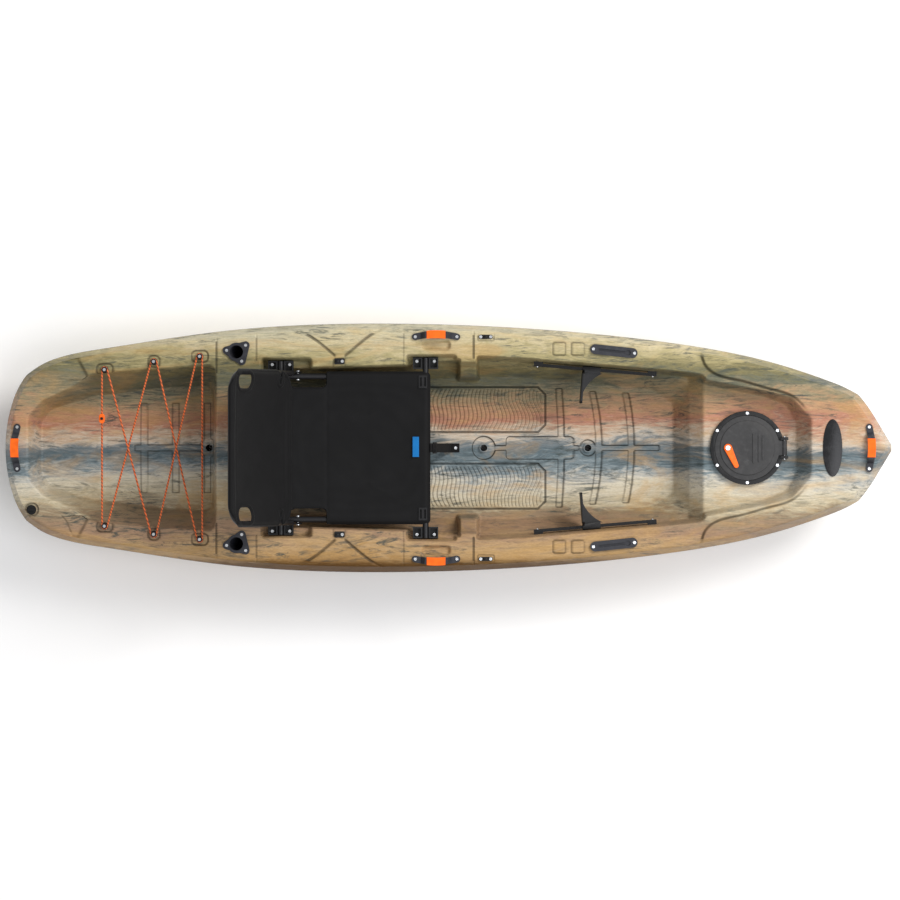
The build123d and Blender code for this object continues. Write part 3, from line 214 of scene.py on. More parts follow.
def camouflage_polyethylene():
    """Thermoformed polyethylene sheet, its colours swirled together as the sheet was drawn.

    The eye sees long streaks of khaki, rose, cream and slate that run with the hull, torn at
    their edges, under a satin skin with a fine leathery grain.
    """
    material, add, shader, place = start_material(
        "camouflage_polyethylene", 0.5, Specular_IOR_Level=0.12
    )
    split = add("SeparateXYZ", {0: place}).outputs
    # Features to a metre along, across and up the hull: broad drifts, tears, then hairs.
    drift, torn, hair, ink, patch, speck = (
        add("TexNoise",
            {
                "Vector": add("VectorMath", {0: place, 1: scale}, operation="MULTIPLY"
                ).outputs[0],
                "Scale": 1.0, "Detail": detail, "Roughness": rough, "Distortion": bend,
            },
        ).outputs[0]
        for scale, detail, rough, bend in (
            ((1.5, 6.0, 1.0), 3.0, 0.55, 0.6),
            ((7.0, 30.0, 5.0), 6.0, 0.66, 2.2),
            ((22.0, 210.0, 20.0), 4.0, 0.62, 1.0),
            ((4.5, 27.0, 4.0), 9.0, 0.72, 3.4),
            ((2.4, 8.0, 2.0), 5.0, 0.62, 1.6),
            ((110.0, 420.0, 200.0), 3.0, 0.6, 0.0),
        )
    )
    # The bands lie across the hull and wander with the noise, by up to about 60 mm.
    across = split["Y"]
    for source, reach in ((drift, 0.16), (torn, 0.15), (hair, 0.03)):
        moved = add("Math", {0: source, 1: reach, 2: -reach / 2}, operation="MULTIPLY_ADD")
        across = add("Math", {0: across, 1: moved.outputs[0]}, operation="ADD").outputs[0]
    across = add("Math", {0: across, 1: 1 / 0.86, 2: 0.5},
        operation="MULTIPLY_ADD", use_clamp=True,
    ).outputs[0]
    khaki, rose = colour("khaki"), colour("rose")
    cream, slate, rim_umber_and_shade = colour("cream"), colour("slate"), colour("rim_umber_and_shade")
    tone = add("ValToRGB", {0: across},
        stops=[
            (0.00, linear("8C6A40")), (0.06, linear("9E7D50")), (0.12, linear("A98C66")),
            (0.18, linear("957961")), (0.25, linear("8F7D64")), (0.29, linear("B5A98E")),
            (0.36, cream), (0.395, linear("ACAAA2")), (0.425, linear("7B868A")),
            (0.46, slate), (0.50, linear("72787A")), (0.535, linear("BAAFA0")),
            (0.57, linear("B59D86")), (0.61, rose), (0.66, linear("AA8565")),
            (0.71, linear("8C7F64")), (0.75, linear("666757")), (0.80, linear("77704F")),
            (0.85, linear("A2976F")), (0.90, khaki), (0.96, linear("B0AA91")),
            (1.00, linear("9A947B")),
        ],
    ).outputs[0]
    # Inky feathers where the sheet was drawn furthest, ochre patches, and the right rim in a brown
    # that is partly its colour and partly painted shade, as that rim faces away from the key
    # light; then hair streaks 5 mm apart and fine specks.
    drawn = add("MapRange",
        {"Value": patch, "From Min": 0.40, "From Max": 0.56, "To Min": 0.85, "To Max": 0.12},
    ).outputs[0]
    edge = add("Math", {0: hair, 1: 0.05, 2: split["Y"]}, operation="MULTIPLY_ADD").outputs[0]
    for source, low, high, share, shade in (
        (ink, 0.50, 0.60, drawn, linear("3E4644")),
        (patch, 0.52, 0.66, 0.45, linear("AE8A55")),
        # Brown and painted shade on the right rim, the side away from the key light.
        (edge, -0.338, -0.362, 0.88, rim_umber_and_shade),
    ):
        mask = add("MapRange",
            {"Value": source, "From Min": low, "From Max": high, "To Max": share},
        ).outputs[0]
        tone = add("Mix", {0: mask, 6: tone, 7: shade}, data_type="RGBA").outputs[2]
    for source, share, dark, light in ((hair, 0.8, 0.40, 0.61), (speck, 0.8, 0.44, 0.58)):
        streak = add("ValToRGB", {0: source}, stops=[(0.3, grey(light)), (0.7, grey(dark))]
        ).outputs[0]
        tone = add("Mix", {0: share, 6: tone, 7: streak},
            data_type="RGBA", blend_type="OVERLAY",
        ).outputs[2]
    # Painted shade: a near-black colour is mixed in along the moulded lines, so that channels,
    # grooves and steep edges look shadowed.
    line = add("Attribute", {}, attribute_name="moulded_line")
    painted_shade_share = add("Math", {0: line.outputs["Fac"], 1: 0.72}, operation="MULTIPLY")
    tone = add("Mix", {0: painted_shade_share.outputs[0], 6: tone, 7: linear("1C1B17")},
        data_type="RGBA",
    ).outputs[2]
    material.node_tree.links.new(tone, shader.inputs["Base Color"])
    add("ValToRGB", {0: torn}, stops=[(0.3, grey(0.42)), (0.7, grey(0.58))],
        into=shader.inputs["Roughness"],
    )
    # Leathery grain of the skin, about 1.5 mm, drawn at 3 mm so that it shows.
    grain = add("TexNoise", {"Vector": place, "Scale": 330.0, "Detail": 4.0})
    add("Bump",
        {"Height": grain.outputs[0], "Strength": 0.12, "Distance": 0.0012},
        into=shader.inputs["Normal"],
    )
    return material


def surface(name, roughness, texture, stops=(), worn=(), grain=None, skin=(), **sockets):
    """A material whose one texture drives its colour, its wear and its skin.

    worn is the roughness at each end of the texture, grain is a second texture that shapes
    the skin instead, and skin is the relief's strength and depth.
    """
    material, add, shader, place = start_material(name, roughness, **sockets)
    mark = add(texture[0], {"Vector": place, **texture[1]}).outputs[0]
    if stops:
        add("ValToRGB", {0: mark}, stops=stops, into=shader.inputs["Base Color"])
    if worn:
        ends = {"Value": mark, "To Min": worn[0], "To Max": worn[1]}
        add("MapRange", ends, into=shader.inputs["Roughness"])
    if grain:
        mark = add(grain[0], {"Vector": place, **grain[1]}).outputs[0]
    if skin:
        relief = {"Height": mark, "Strength": skin[0], "Distance": skin[1]}
        add("Bump", relief, into=shader.inputs["Normal"])
    return material


def moulded_plastic(name, base, roughness=0.45, grain=0.18):
    """Injection-moulded nylon or ABS: an even satin, lighter at scuffs, with spark grain."""
    scuffs = {"Scale": 60.0, "Detail": 6.0, "Roughness": 0.65, "Distortion": 0.4}
    return surface(
        name, roughness, ("TexNoise", scuffs),
        stops=[(0.3, scaled(base, 0.82)), (0.52, base), (0.74, scaled(base, 1.3, 0.008))],
        worn=(roughness - 0.12, roughness + 0.14),
        # Spark-eroded grain, 0.6 mm on the tool.
        grain=("TexNoise", {"Scale": 1600.0, "Detail": 2.0}), skin=(grain, 0.0004),
        Specular_IOR_Level=0.3,
    )


def soft_rubber(name, base):
    """Overmoulded thermoplastic rubber: dull and even, with fine moulded pips."""
    return surface(
        name, 0.62, ("TexNoise", {"Scale": 55.0, "Detail": 4.0}),
        stops=[(0.32, scaled(base, 0.8)), (0.6, base)],
        grain=("TexVoronoi", {"Scale": 520.0}), skin=(0.3, 0.0006), Specular_IOR_Level=0.25,
    )


def stainless_steel():
    """Polished 316 stainless: bright, with faint turning marks and a few dull spots."""
    return surface(
        "stainless_steel", 0.22,
        ("TexNoise", {"Scale": 240.0, "Detail": 3.0, "Roughness": 0.6}),
        worn=(0.12, 0.4), skin=(0.08, 0.0003), Metallic=1.0, Base_Color=linear("D6D8DA"),
    )


def coated_tube():
    """Black powder-coated aluminium tube: satin with a fine orange-peel skin."""
    return surface(
        "powder_coated_tube", 0.38, ("TexNoise", {"Scale": 420.0, "Detail": 3.0}),
        stops=[(0.3, linear("101012")), (0.7, linear("1D1D20"))], skin=(0.18, 0.0006),
        Specular_IOR_Level=0.35,
    )


def woven(name, base, pitch, sheen=0.05):
    """Coated polyester weave: matt and near black, with a soft sheen where it bends.

    The threads are 0.6 mm apart and are drawn at the pitch given, so that they show.
    """
    material, add, shader, place = start_material(
        name, 0.7, Sheen_Weight=sheen, Sheen_Roughness=0.4, Specular_IOR_Level=0.14
    )
    split = add("SeparateXYZ", {0: place}).outputs
    waves = [
        add("Math",
            {
                0: add("Math", {0: split[axis], 1: 2 * math.pi / (pitch * MM)},
                    operation="MULTIPLY",
                ).outputs[0]
            },
            operation="SINE",
        ).outputs[0]
        for axis in ("X", "Y", "Z")
    ]
    flat = add("Math", {0: waves[0], 1: waves[1]}, operation="MULTIPLY").outputs[0]
    threads = add("Math", {0: waves[2], 1: 0.3, 2: flat}, operation="MULTIPLY_ADD").outputs[0]
    cloud = add("TexNoise", {"Vector": place, "Scale": 14.0, "Detail": 5.0, "Roughness": 0.6})
    tone = add("ValToRGB", {0: cloud.outputs[0]},
        stops=[(0.3, scaled(base, 0.88)), (0.5, base), (0.72, scaled(base, 1.16))],
    )
    lift = add("Math", {0: threads, 1: 0.10, 2: 0.5}, operation="MULTIPLY_ADD")
    tone = add("Mix", {0: 1.0, 6: tone.outputs[0], 7: lift.outputs[0]},
        data_type="RGBA", blend_type="OVERLAY",
    )
    material.node_tree.links.new(tone.outputs[2], shader.inputs["Base Color"])
    add("Bump", {"Height": threads, "Strength": 0.22, "Distance": 0.0005},
        into=shader.inputs["Normal"],
    )
    return material


def braided_cord():
    """Shock cord in a braided polyester sheath: orange with dark tracer threads."""
    material, add, shader, place = start_material("braided_shock_cord", 0.6, Sheen_Weight=0.2)
    split = add("SeparateXYZ", {0: place}).outputs
    along = add("Math", {0: split["X"], 1: split["Y"]}, operation="ADD")
    # The tracer repeats every 12 mm along the cord.
    turned = add("Math", {0: along.outputs[0], 1: 2 * math.pi / 0.012}, operation="MULTIPLY")
    braid = add("Math", {0: turned.outputs[0]}, operation="SINE").outputs[0]
    half = add("Math", {0: braid, 1: 0.5, 2: 0.5}, operation="MULTIPLY_ADD")
    cord = colour("cord")
    add("ValToRGB", {0: half.outputs[0]},
        stops=[(0.1, scaled(cord, 0.3)), (0.28, cord), (0.75, cord), (0.95, scaled(cord, 1.4))],
        into=shader.inputs["Base Color"],
    )
    add("Bump", {"Height": braid, "Strength": 0.35, "Distance": 0.0008},
        into=shader.inputs["Normal"],
    )
    return material


def closed_cell_foam():
    """Cut polyethylene foam: white, dull, with burst cells."""
    return surface(
        "closed_cell_foam", 0.9, ("TexVoronoi", {"Scale": 260.0}),
        stops=[(0.2, linear("C9C9C4")), (0.7, linear("E9E9E5"))], skin=(0.4, 0.001),
    )


def studio_paint():
    """Painted studio floor: pale, matt, very slightly uneven."""
    return surface(
        "painted_studio_floor", 0.9, ("TexNoise", {"Scale": 1.5, "Detail": 3.0}),
        stops=[(0.3, linear("FAFAFA")), (0.7, colour("floor"))],
    )


def finish_of(slot_name):
    """The material for one of the record's slots, made once."""
    makers = {
        "camo_plastic": camouflage_polyethylene,
        "dark_plastic": lambda: moulded_plastic("moulded_dark_nylon", colour("dark")),
        "black_plastic": lambda: moulded_plastic("moulded_black_nylon", linear("101012")),
        "lid_plastic": lambda: moulded_plastic("moulded_lid_abs", colour("lid"), 0.52, 0.3),
        "orange_plastic": lambda: moulded_plastic("moulded_orange_nylon", colour("orange")),
        "orange_rubber": lambda: soft_rubber("overmoulded_orange_rubber", colour("orange")),
        "gasket_rubber": lambda: soft_rubber("moulded_black_rubber", linear("141414")),
        "badge_plastic": lambda: moulded_plastic("domed_badge_plastic", linear("1B1B1D"), 0.2),
        "steel": stainless_steel,
        "seat_tube": coated_tube,
        "seat_fabric": lambda: woven("coated_polyester_weave", colour("fabric"), 3.0),
        "webbing": lambda: woven("woven_black_webbing", linear("101011"), 2.4),
        "blue_tag": lambda: woven("woven_blue_label", colour("tag"), 2.4, sheen=0.1),
        "bungee": braided_cord,
        "foam": closed_cell_foam,
    }
    key = "kayak_finish_" + slot_name
    for material in bpy.data.materials:
        if material.get("kayak_slot") == key:
            return material
    material = makers[slot_name]()
    material["kayak_slot"] = key
    return material


# --- Mesh helpers --------------------------------------------------------------------------
def new_piece(name, points, faces, material, body="kayak", replaces=(), sharp=40.0):
    """A mesh in millimetres becomes a smooth-shaded piece riding on a CAD body."""
    mesh = bpy.data.meshes.new(name)
    mesh.from_pydata((np.asarray(points, float) * MM).tolist(), [], [list(f) for f in faces])
    mesh.validate()
    return place_piece(name, mesh, material, body, replaces, sharp)


def place_piece(name, mesh, material, body="kayak", replaces=(), sharp=40.0):
    """Puts a mesh into the scene as a piece of the kayak."""
    mesh.materials.clear()
    mesh.materials.append(material)
    mesh.shade_smooth()
    mesh.set_sharp_from_angle(angle=math.radians(sharp))
    piece = bpy.data.objects.new(name, mesh)
    bpy.context.scene.collection.objects.link(piece)
    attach(piece, body)
    if replaces:
        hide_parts(*replaces)
    return piece


def grid_faces(rows, columns, first=0):
    """Quads between the points of a grid held row by row."""
    i, j = np.meshgrid(np.arange(rows - 1), np.arange(columns - 1), indexing="ij")
    a = (i * columns + j).ravel() + first
    return np.stack([a, a + columns, a + columns + 1, a + 1], axis=1)


def cut_opening(points, faces, depth):
    """Takes out the faces inside an opening and draws the hole's rim onto its edge.

    depth gives, for each point, how far inside the opening it lies.
    """
    points = np.array(points, float)
    gone = depth(points[faces].mean(axis=1)) > 0
    rim = np.intersect1d(faces[gone].ravel(), faces[~gone].ravel())
    step = 0.5
    for _ in range(2):
        here = depth(points[rim])
        slope = np.zeros((len(rim), points.shape[1]))
        for axis in (0, 1):
            moved = points[rim].copy()
            moved[:, axis] += step
            slope[:, axis] = (depth(moved) - here) / step
        points[rim] -= slope * here[:, None]
    return points, faces[~gone]


def used_only(points, faces):
    """Drops the points that no face uses."""
    used, renamed = np.unique(faces.ravel(), return_inverse=True)
    return points[used], renamed.reshape(faces.shape)


def ease(value):
    """0 below 0, 1 above 1 and smooth between."""
    value = np.clip(value, 0, 1)
    return value * value * (3 - 2 * value)


def segment_distance(x, y, points, closed=False):
    """Distance from each place to a line through points."""
    points = np.asarray(points, float)
    ends = np.roll(points, -1, axis=0) if closed else points[1:]
    best = np.full(np.shape(x), 1e12)
    for (ax, ay), (bx, by) in zip(points, ends):
        ex, ey = bx - ax, by - ay
        along = np.clip(((x - ax) * ex + (y - ay) * ey) / (ex * ex + ey * ey + 1e-12), 0, 1)
        best = np.minimum(best, (x - ax - along * ex) ** 2 + (y - ay - along * ey) ** 2)
    return np.sqrt(best)


def depth_inside(x, y, outline):
    """How far each place lies inside a closed outline, negative outside."""
    inside = np.zeros(np.shape(x), bool)
    outline = np.asarray(outline, float)
    for (ax, ay), (bx, by) in zip(outline, np.roll(outline, -1, axis=0)):
        if ay != by:
            crosses = ((ay > y) != (by > y)) & (x < (bx - ax) * (y - ay) / (by - ay) + ax)
            inside ^= crosses
    distance = segment_distance(x, y, outline, closed=True)
    return np.where(inside, distance, -distance)


def depth_in_box(x, y, centre, half, corner=0.0):
    """How far each place lies inside a rectangle with round corners."""
    dx = np.abs(x - centre[0]) - half[0] + corner
    dy = np.abs(y - centre[1]) - half[1] + corner
    outside = np.hypot(np.maximum(dx, 0), np.maximum(dy, 0))
    return corner - outside - np.minimum(np.maximum(dx, dy), 0)


def rounded(points, radius, steps=5):
    """A closed outline with its corners rounded."""
    points = [Vector((*p, 0)) for p in points]
    made = []
    for i, corner in enumerate(points):
        before = (points[i - 1] - corner)
        after = (points[(i + 1) % len(points)] - corner)
        turn = before.angle(after)
        reach = min(radius / math.tan(turn / 2), before.length * 0.45, after.length * 0.45)
        start, end = corner + before.normalized() * reach, corner + after.normalized() * reach
        for k in range(steps + 1):
            t = k / steps
            point = start.lerp(corner, t).lerp(corner.lerp(end, t), t)
            made.append((point.x, point.y))
    return made


def mirrored(left):
    """A closed outline from its left half."""
    return list(left) + [(x, -y) for x, y in reversed(left)]


def natural_spline(points, count):
    """Points along a smooth curve through the given ones, evenly spaced in parameter."""
    p = np.array(points, float)
    t = np.concatenate([[0], np.cumsum(np.linalg.norm(np.diff(p, axis=0), axis=1))])
    h = np.diff(t)
    n = len(p)
    left, right = np.eye(n), np.zeros((n, p.shape[1]))
    for i in range(1, n - 1):
        left[i, i - 1 : i + 2] = h[i - 1], 2 * (h[i - 1] + h[i]), h[i]
        right[i] = 6 * ((p[i + 1] - p[i]) / h[i] - (p[i] - p[i - 1]) / h[i - 1])
    m = np.linalg.solve(left, right)
    u = np.linspace(0, t[-1], count)
    k = np.clip(np.searchsorted(t, u, side="right") - 1, 0, n - 2)
    d, e, hk = (u - t[k])[:, None], (t[k + 1] - u)[:, None], h[k][:, None]
    bend = (m[k] * e**3 + m[k + 1] * d**3) / (6 * hk)
    return bend + (p[k] / hk - m[k] * hk / 6) * e + (p[k + 1] / hk - m[k + 1] * hk / 6) * d


def blurred(field, reach):
    """A field smoothed by a bell curve this many cells wide."""
    cells = np.arange(-int(3 * reach) - 1, int(3 * reach) + 2)
    bell = np.exp(-0.5 * (cells / reach) ** 2)
    bell /= bell.sum()
    edge = len(cells) // 2
    for axis in (0, 1):
        padded = np.pad(field, [(edge, edge) if a == axis else (0, 0) for a in (0, 1)], "edge")
        total = np.zeros_like(field)
        for weight, start in zip(bell, range(len(cells))):
            view = [slice(None), slice(None)]
            view[axis] = slice(start, start + field.shape[axis])
            total += weight * padded[tuple(view)]
        field = total
    return field


# --- Lines of the hull ---------------------------------------------------------------------
hull_low, hull_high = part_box("hull")
LENGTH = (hull_high.x - hull_low.x) / MM
BEAM = (hull_high.y - hull_low.y) / MM
SEAM = hull_high.z / MM
DECK = 330.0
RAMP_X, RAMP_RISE = 830.0, math.tan(math.radians(3.4))
RIM_SLOPE = 0.34
BOW_TIP_HALF = 10.0
SIDE_SHAPE = (
    (-0.956, 0.597), (-0.911, 0.684), (-0.777, 0.80), (-0.507, 0.94), (-0.148, 1.0),
    (0.211, 0.952), (0.481, 0.855), (0.75, 0.667), (0.929, 0.444),
)
HULL_LEVELS = (
    (0, 0.60, 0.80, 0.705), (30, 0.81, 0.902, 0.83), (90, 0.923, 0.949, 0.912),
    (180, 0.978, 0.983, 0.97), (SEAM, 1.0, 1.0, 1.0),
)
TANK_FLOOR_Z, COCKPIT_FLOOR_Z, LEDGE_Z, BOW_FLOOR_Z, BOW_TOP_Z = 150.0, 95.0, 190.0, 250.0, 350.0
PAD_Z = 275.0
TANK_FLOOR = ((-1365, 84), (-1330, 130), (-1264, 150), (-1160, 177), (-960, 203), (-790, 210))
TANK_TOP = ((-1392, 104), (-1346, 156), (-1253, 198), (-1187, 245), (-960, 264), (-772, 276))
COCKPIT_TOP = (
    (-640, 254), (-456, 262), (-139, 271), (100, 300), (240, 293.6), (740, 251.1), (850, 238)
)
COCKPIT_LEDGE = (
    (-630, 244), (-456, 252), (-139, 261), (100, 290), (240, 283.6), (740, 241.1), (802, 214)
)
COCKPIT_FLOOR = (
    (-600, 215), (-456, 225), (-139, 228), (100, 238), (240, 236), (687, 195), (755, 150)
)
BOW_FLOOR = ((800, 226), (900, 205), (1053, 174), (1129, 143), (1159, 84))
BOW_TOP = ((800, 236), (900, 216), (1040, 190), (1135, 166), (1200, 96))
# Middle, half sizes and floor height of the pockets on each side.
POCKETS = (
    ((-57, 250), (82, 56), PAD_Z), ((-537.5, 240), (81.5, 55), PAD_Z),
    ((-41, 340), (45, 13), DECK - 14),
)
# The blocks that carry the side decks' noses beside the front of the seat: middle, half
# sizes, and their heights at their inner and outer ends.
NOSES = (((66, 262), (38, 36), 205, 290), ((66, 298), (38, 26), DECK, DECK))
SCUPPERS = ((119, COCKPIT_FLOOR_Z), (470, COCKPIT_FLOOR_Z), (-804, TANK_FLOOR_Z))
SCUPPER_BORE = 14.9
DRAIN = (-1382, -205)
# Openings through the deck: middle, radius, and the heights that they cut between.
DECK_OPENINGS = (
    *(((middle, 0), SCUPPER_BORE, floor - 12, floor + 20) for middle, floor in SCUPPERS),
    ((-702, 318), 25.5, DECK - 20, DECK + 5), ((-702, -318), 25.5, DECK - 20, DECK + 5),
    ((995, 0), 99.5, 235, 260), (DRAIN, 10.5, 300, 340),
)


def deck_z(x):
    """Height of the plain deck at a station."""
    return DECK + np.maximum(0, x - RAMP_X) * RAMP_RISE


def outline_point(along, out, across, end, half, stern, bow):
    """Places on a level's outline: along its sides, round the transom or at the bow."""
    middle, reach = (bow - stern) / 2, (bow + stern) / 2
    x = middle + reach * along
    y = half * out * across
    edge = half * out
    sag = np.maximum(x + stern, 1e-6)
    radius = (edge**2 + sag**2) / (2 * sag)
    transom = radius - stern - np.sqrt(np.maximum(radius**2 - y**2, 0))
    taper = np.clip((np.abs(y) - BOW_TIP_HALF) / np.maximum(edge - BOW_TIP_HALF, 1e-6), 0, 1)
    point = bow - taper * (bow - x)
    return np.where(end < 0, transom, np.where(end > 0, point, x)), y


def eased_corners(x, y):
    """Draws in the corners where the sides meet the transom and the bow."""
    for corner_x, corner_y, pull in (
        (SIDE_SHAPE[-1][0], SIDE_SHAPE[-1][1], (-5.5, -7.0)),
        (SIDE_SHAPE[0][0], SIDE_SHAPE[0][1], (5.0, -5.0)),
    ):
        away = np.hypot(x - corner_x * LENGTH / 2, np.abs(y) - corner_y * BEAM / 2)
        share = np.clip(1 - away / 95, 0, 1) ** 2
        x = x + pull[0] * share
        y = y + pull[1] * share * np.sign(y)
    return x, y


def rim_point(along, out, across, end, z):
    """Places on the leaning rim at a height above the seam."""
    inset = (z - SEAM) * RIM_SLOPE
    return outline_point(
        along, out, across, end, BEAM / 2 - inset, LENGTH / 2 - inset, LENGTH / 2 - inset
    )


def deck_edge(along, out, across, end):
    """Where the rim meets the deck."""
    z = np.full(np.shape(across), DECK)
    for _ in range(4):
        x, y = rim_point(along, out, across, end, z)
        z = deck_z(x)
    return x, y, z


def well(x, y, top, floor, corner):
    """How far inside a well each place lies, and its share of the way down to the floor."""
    inside = depth_inside(x, y, rounded(mirrored(top), corner))
    low = depth_inside(x, y, rounded(mirrored(floor), corner))
    share = np.clip(inside / np.maximum(inside - low, 1e-6), 0, 1)
    return inside, np.where(low > 0, 1, share)


def wells_height():
    """Heights of the deck over one half, cell by cell, with its wells' edges rounded."""
    cell = 2.0
    xs = np.arange(-LENGTH / 2 - 10, LENGTH / 2 + 12, cell)
    ys = np.arange(0, BEAM / 2 + 8, cell)
    x, y = np.meshgrid(xs, ys, indexing="ij")
    z = deck_z(x)
    tank, share = well(x, y, TANK_TOP, TANK_FLOOR, 30)
    z = np.where(tank > 0, DECK + (TANK_FLOOR_Z - DECK) * share, z)
    shelf = TANK_FLOOR_Z + 13 * ease((-1150 - x) / 20)
    z = np.where(tank > 0, np.maximum(z, shelf), z)
    top = depth_inside(x, y, rounded(mirrored(COCKPIT_TOP), 24))
    ledge = depth_inside(x, y, rounded(mirrored(COCKPIT_LEDGE), 24))
    floor = depth_inside(x, y, rounded(mirrored(COCKPIT_FLOOR), 24))
    upper = DECK + (LEDGE_Z - DECK) * np.clip(top / 1.5, 0, 1)
    share = np.clip((ledge + 2) / np.maximum(ledge - floor, 1e-6), 0, 1)
    lower = LEDGE_Z + (COCKPIT_FLOOR_Z - LEDGE_Z) * np.where(floor > -2, 1, share)
    cockpit = np.where(ledge > 0, lower, upper)
    step_x, step_length = COCKPIT_LEDGE[-1][0], 48
    step = LEDGE_Z + (x - step_x) / step_length * (BOW_FLOOR_Z - LEDGE_Z)
    cockpit = np.where((x > step_x) & (top > 0), np.maximum(cockpit, step), cockpit)
    for middle, half, low, high in NOSES:
        nose = np.clip(depth_in_box(x, y, middle, half, 12) / 9, 0, 1)
        height = low + (high - low) * np.clip((y - 228) / 57, 0, 1)
        height = COCKPIT_FLOOR_Z + (height - COCKPIT_FLOOR_Z) * nose
        cockpit = np.where(nose > 0, np.maximum(cockpit, height), cockpit)
    z = np.where(top > 0, np.minimum(z, cockpit), z)
    bow, share = well(x, y, BOW_TOP, BOW_FLOOR, 24)
    recess = BOW_TOP_Z + (BOW_FLOOR_Z - BOW_TOP_Z) * share
    z = np.where(bow > 0, np.minimum(z, recess), z)
    for middle, half, low in POCKETS:
        inside = depth_in_box(x, y, middle, half, 8)
        pocket = np.maximum(DECK - inside * 18, low)
        z = np.where(inside > 0, np.minimum(z, pocket), z)
    return xs, ys, blurred(z, size("edge_round") / cell)


def sampled(field, x, y):
    """A field's value at each place, from its four nearest cells."""
    xs, ys, values = field
    u = np.clip((x - xs[0]) / (xs[1] - xs[0]), 0, len(xs) - 1.001)
    v = np.clip((np.abs(y) - ys[0]) / (ys[1] - ys[0]), 0, len(ys) - 1.001)
    i, j = u.astype(int), v.astype(int)
    a, b = u - i, v - j
    near = values[i, j] * (1 - a) + values[i + 1, j] * a
    far = values[i, j + 1] * (1 - a) + values[i + 1, j + 1] * a
    return near * (1 - b) + far * b


# The blocks of foam lie close under the tank well's floor, so its lines are no deeper.
OVER_FOAM = 3.2
# Channels across the floors: station, reach to each side and how far they bow.
TRANSVERSE = (
    (-1021, 150, 0), (-916, 150, 0), (-809, 150, 0), (380, 200, 8), (507, 190, 25),
    (616, 185, 23),
)
# Lines across the side decks: station, inner and outer ends and strength.
DECK_LINES = (
    (-769, 250, 400, 1), (-637, 290, 408, 0.6), (-149, 270, 420, 0.6), (83, 296, 420, 1)
)
# The flats under the bungee's hooks: middle and half length.
HOOK_FLATS = ((-1139, 259, 27), (-976, 286, 19), (-824, 303, 27))
V_GROOVE = natural_spline(((-564, 394), (-500, 388), (-430, 350), (-378, 306)), 14).tolist()
V_GROOVE_FORE = natural_spline(((-342, 306), (-290, 350), (-215, 396), (-151, 404)), 14).tolist()
RIDGE_EDGE = natural_spline(
    (
        (834, 372), (832, 314), (847, 268), (884, 238), (960, 218), (1060, 190), (1135, 166),
        (1200, 96),
    ),
    40,
).tolist()


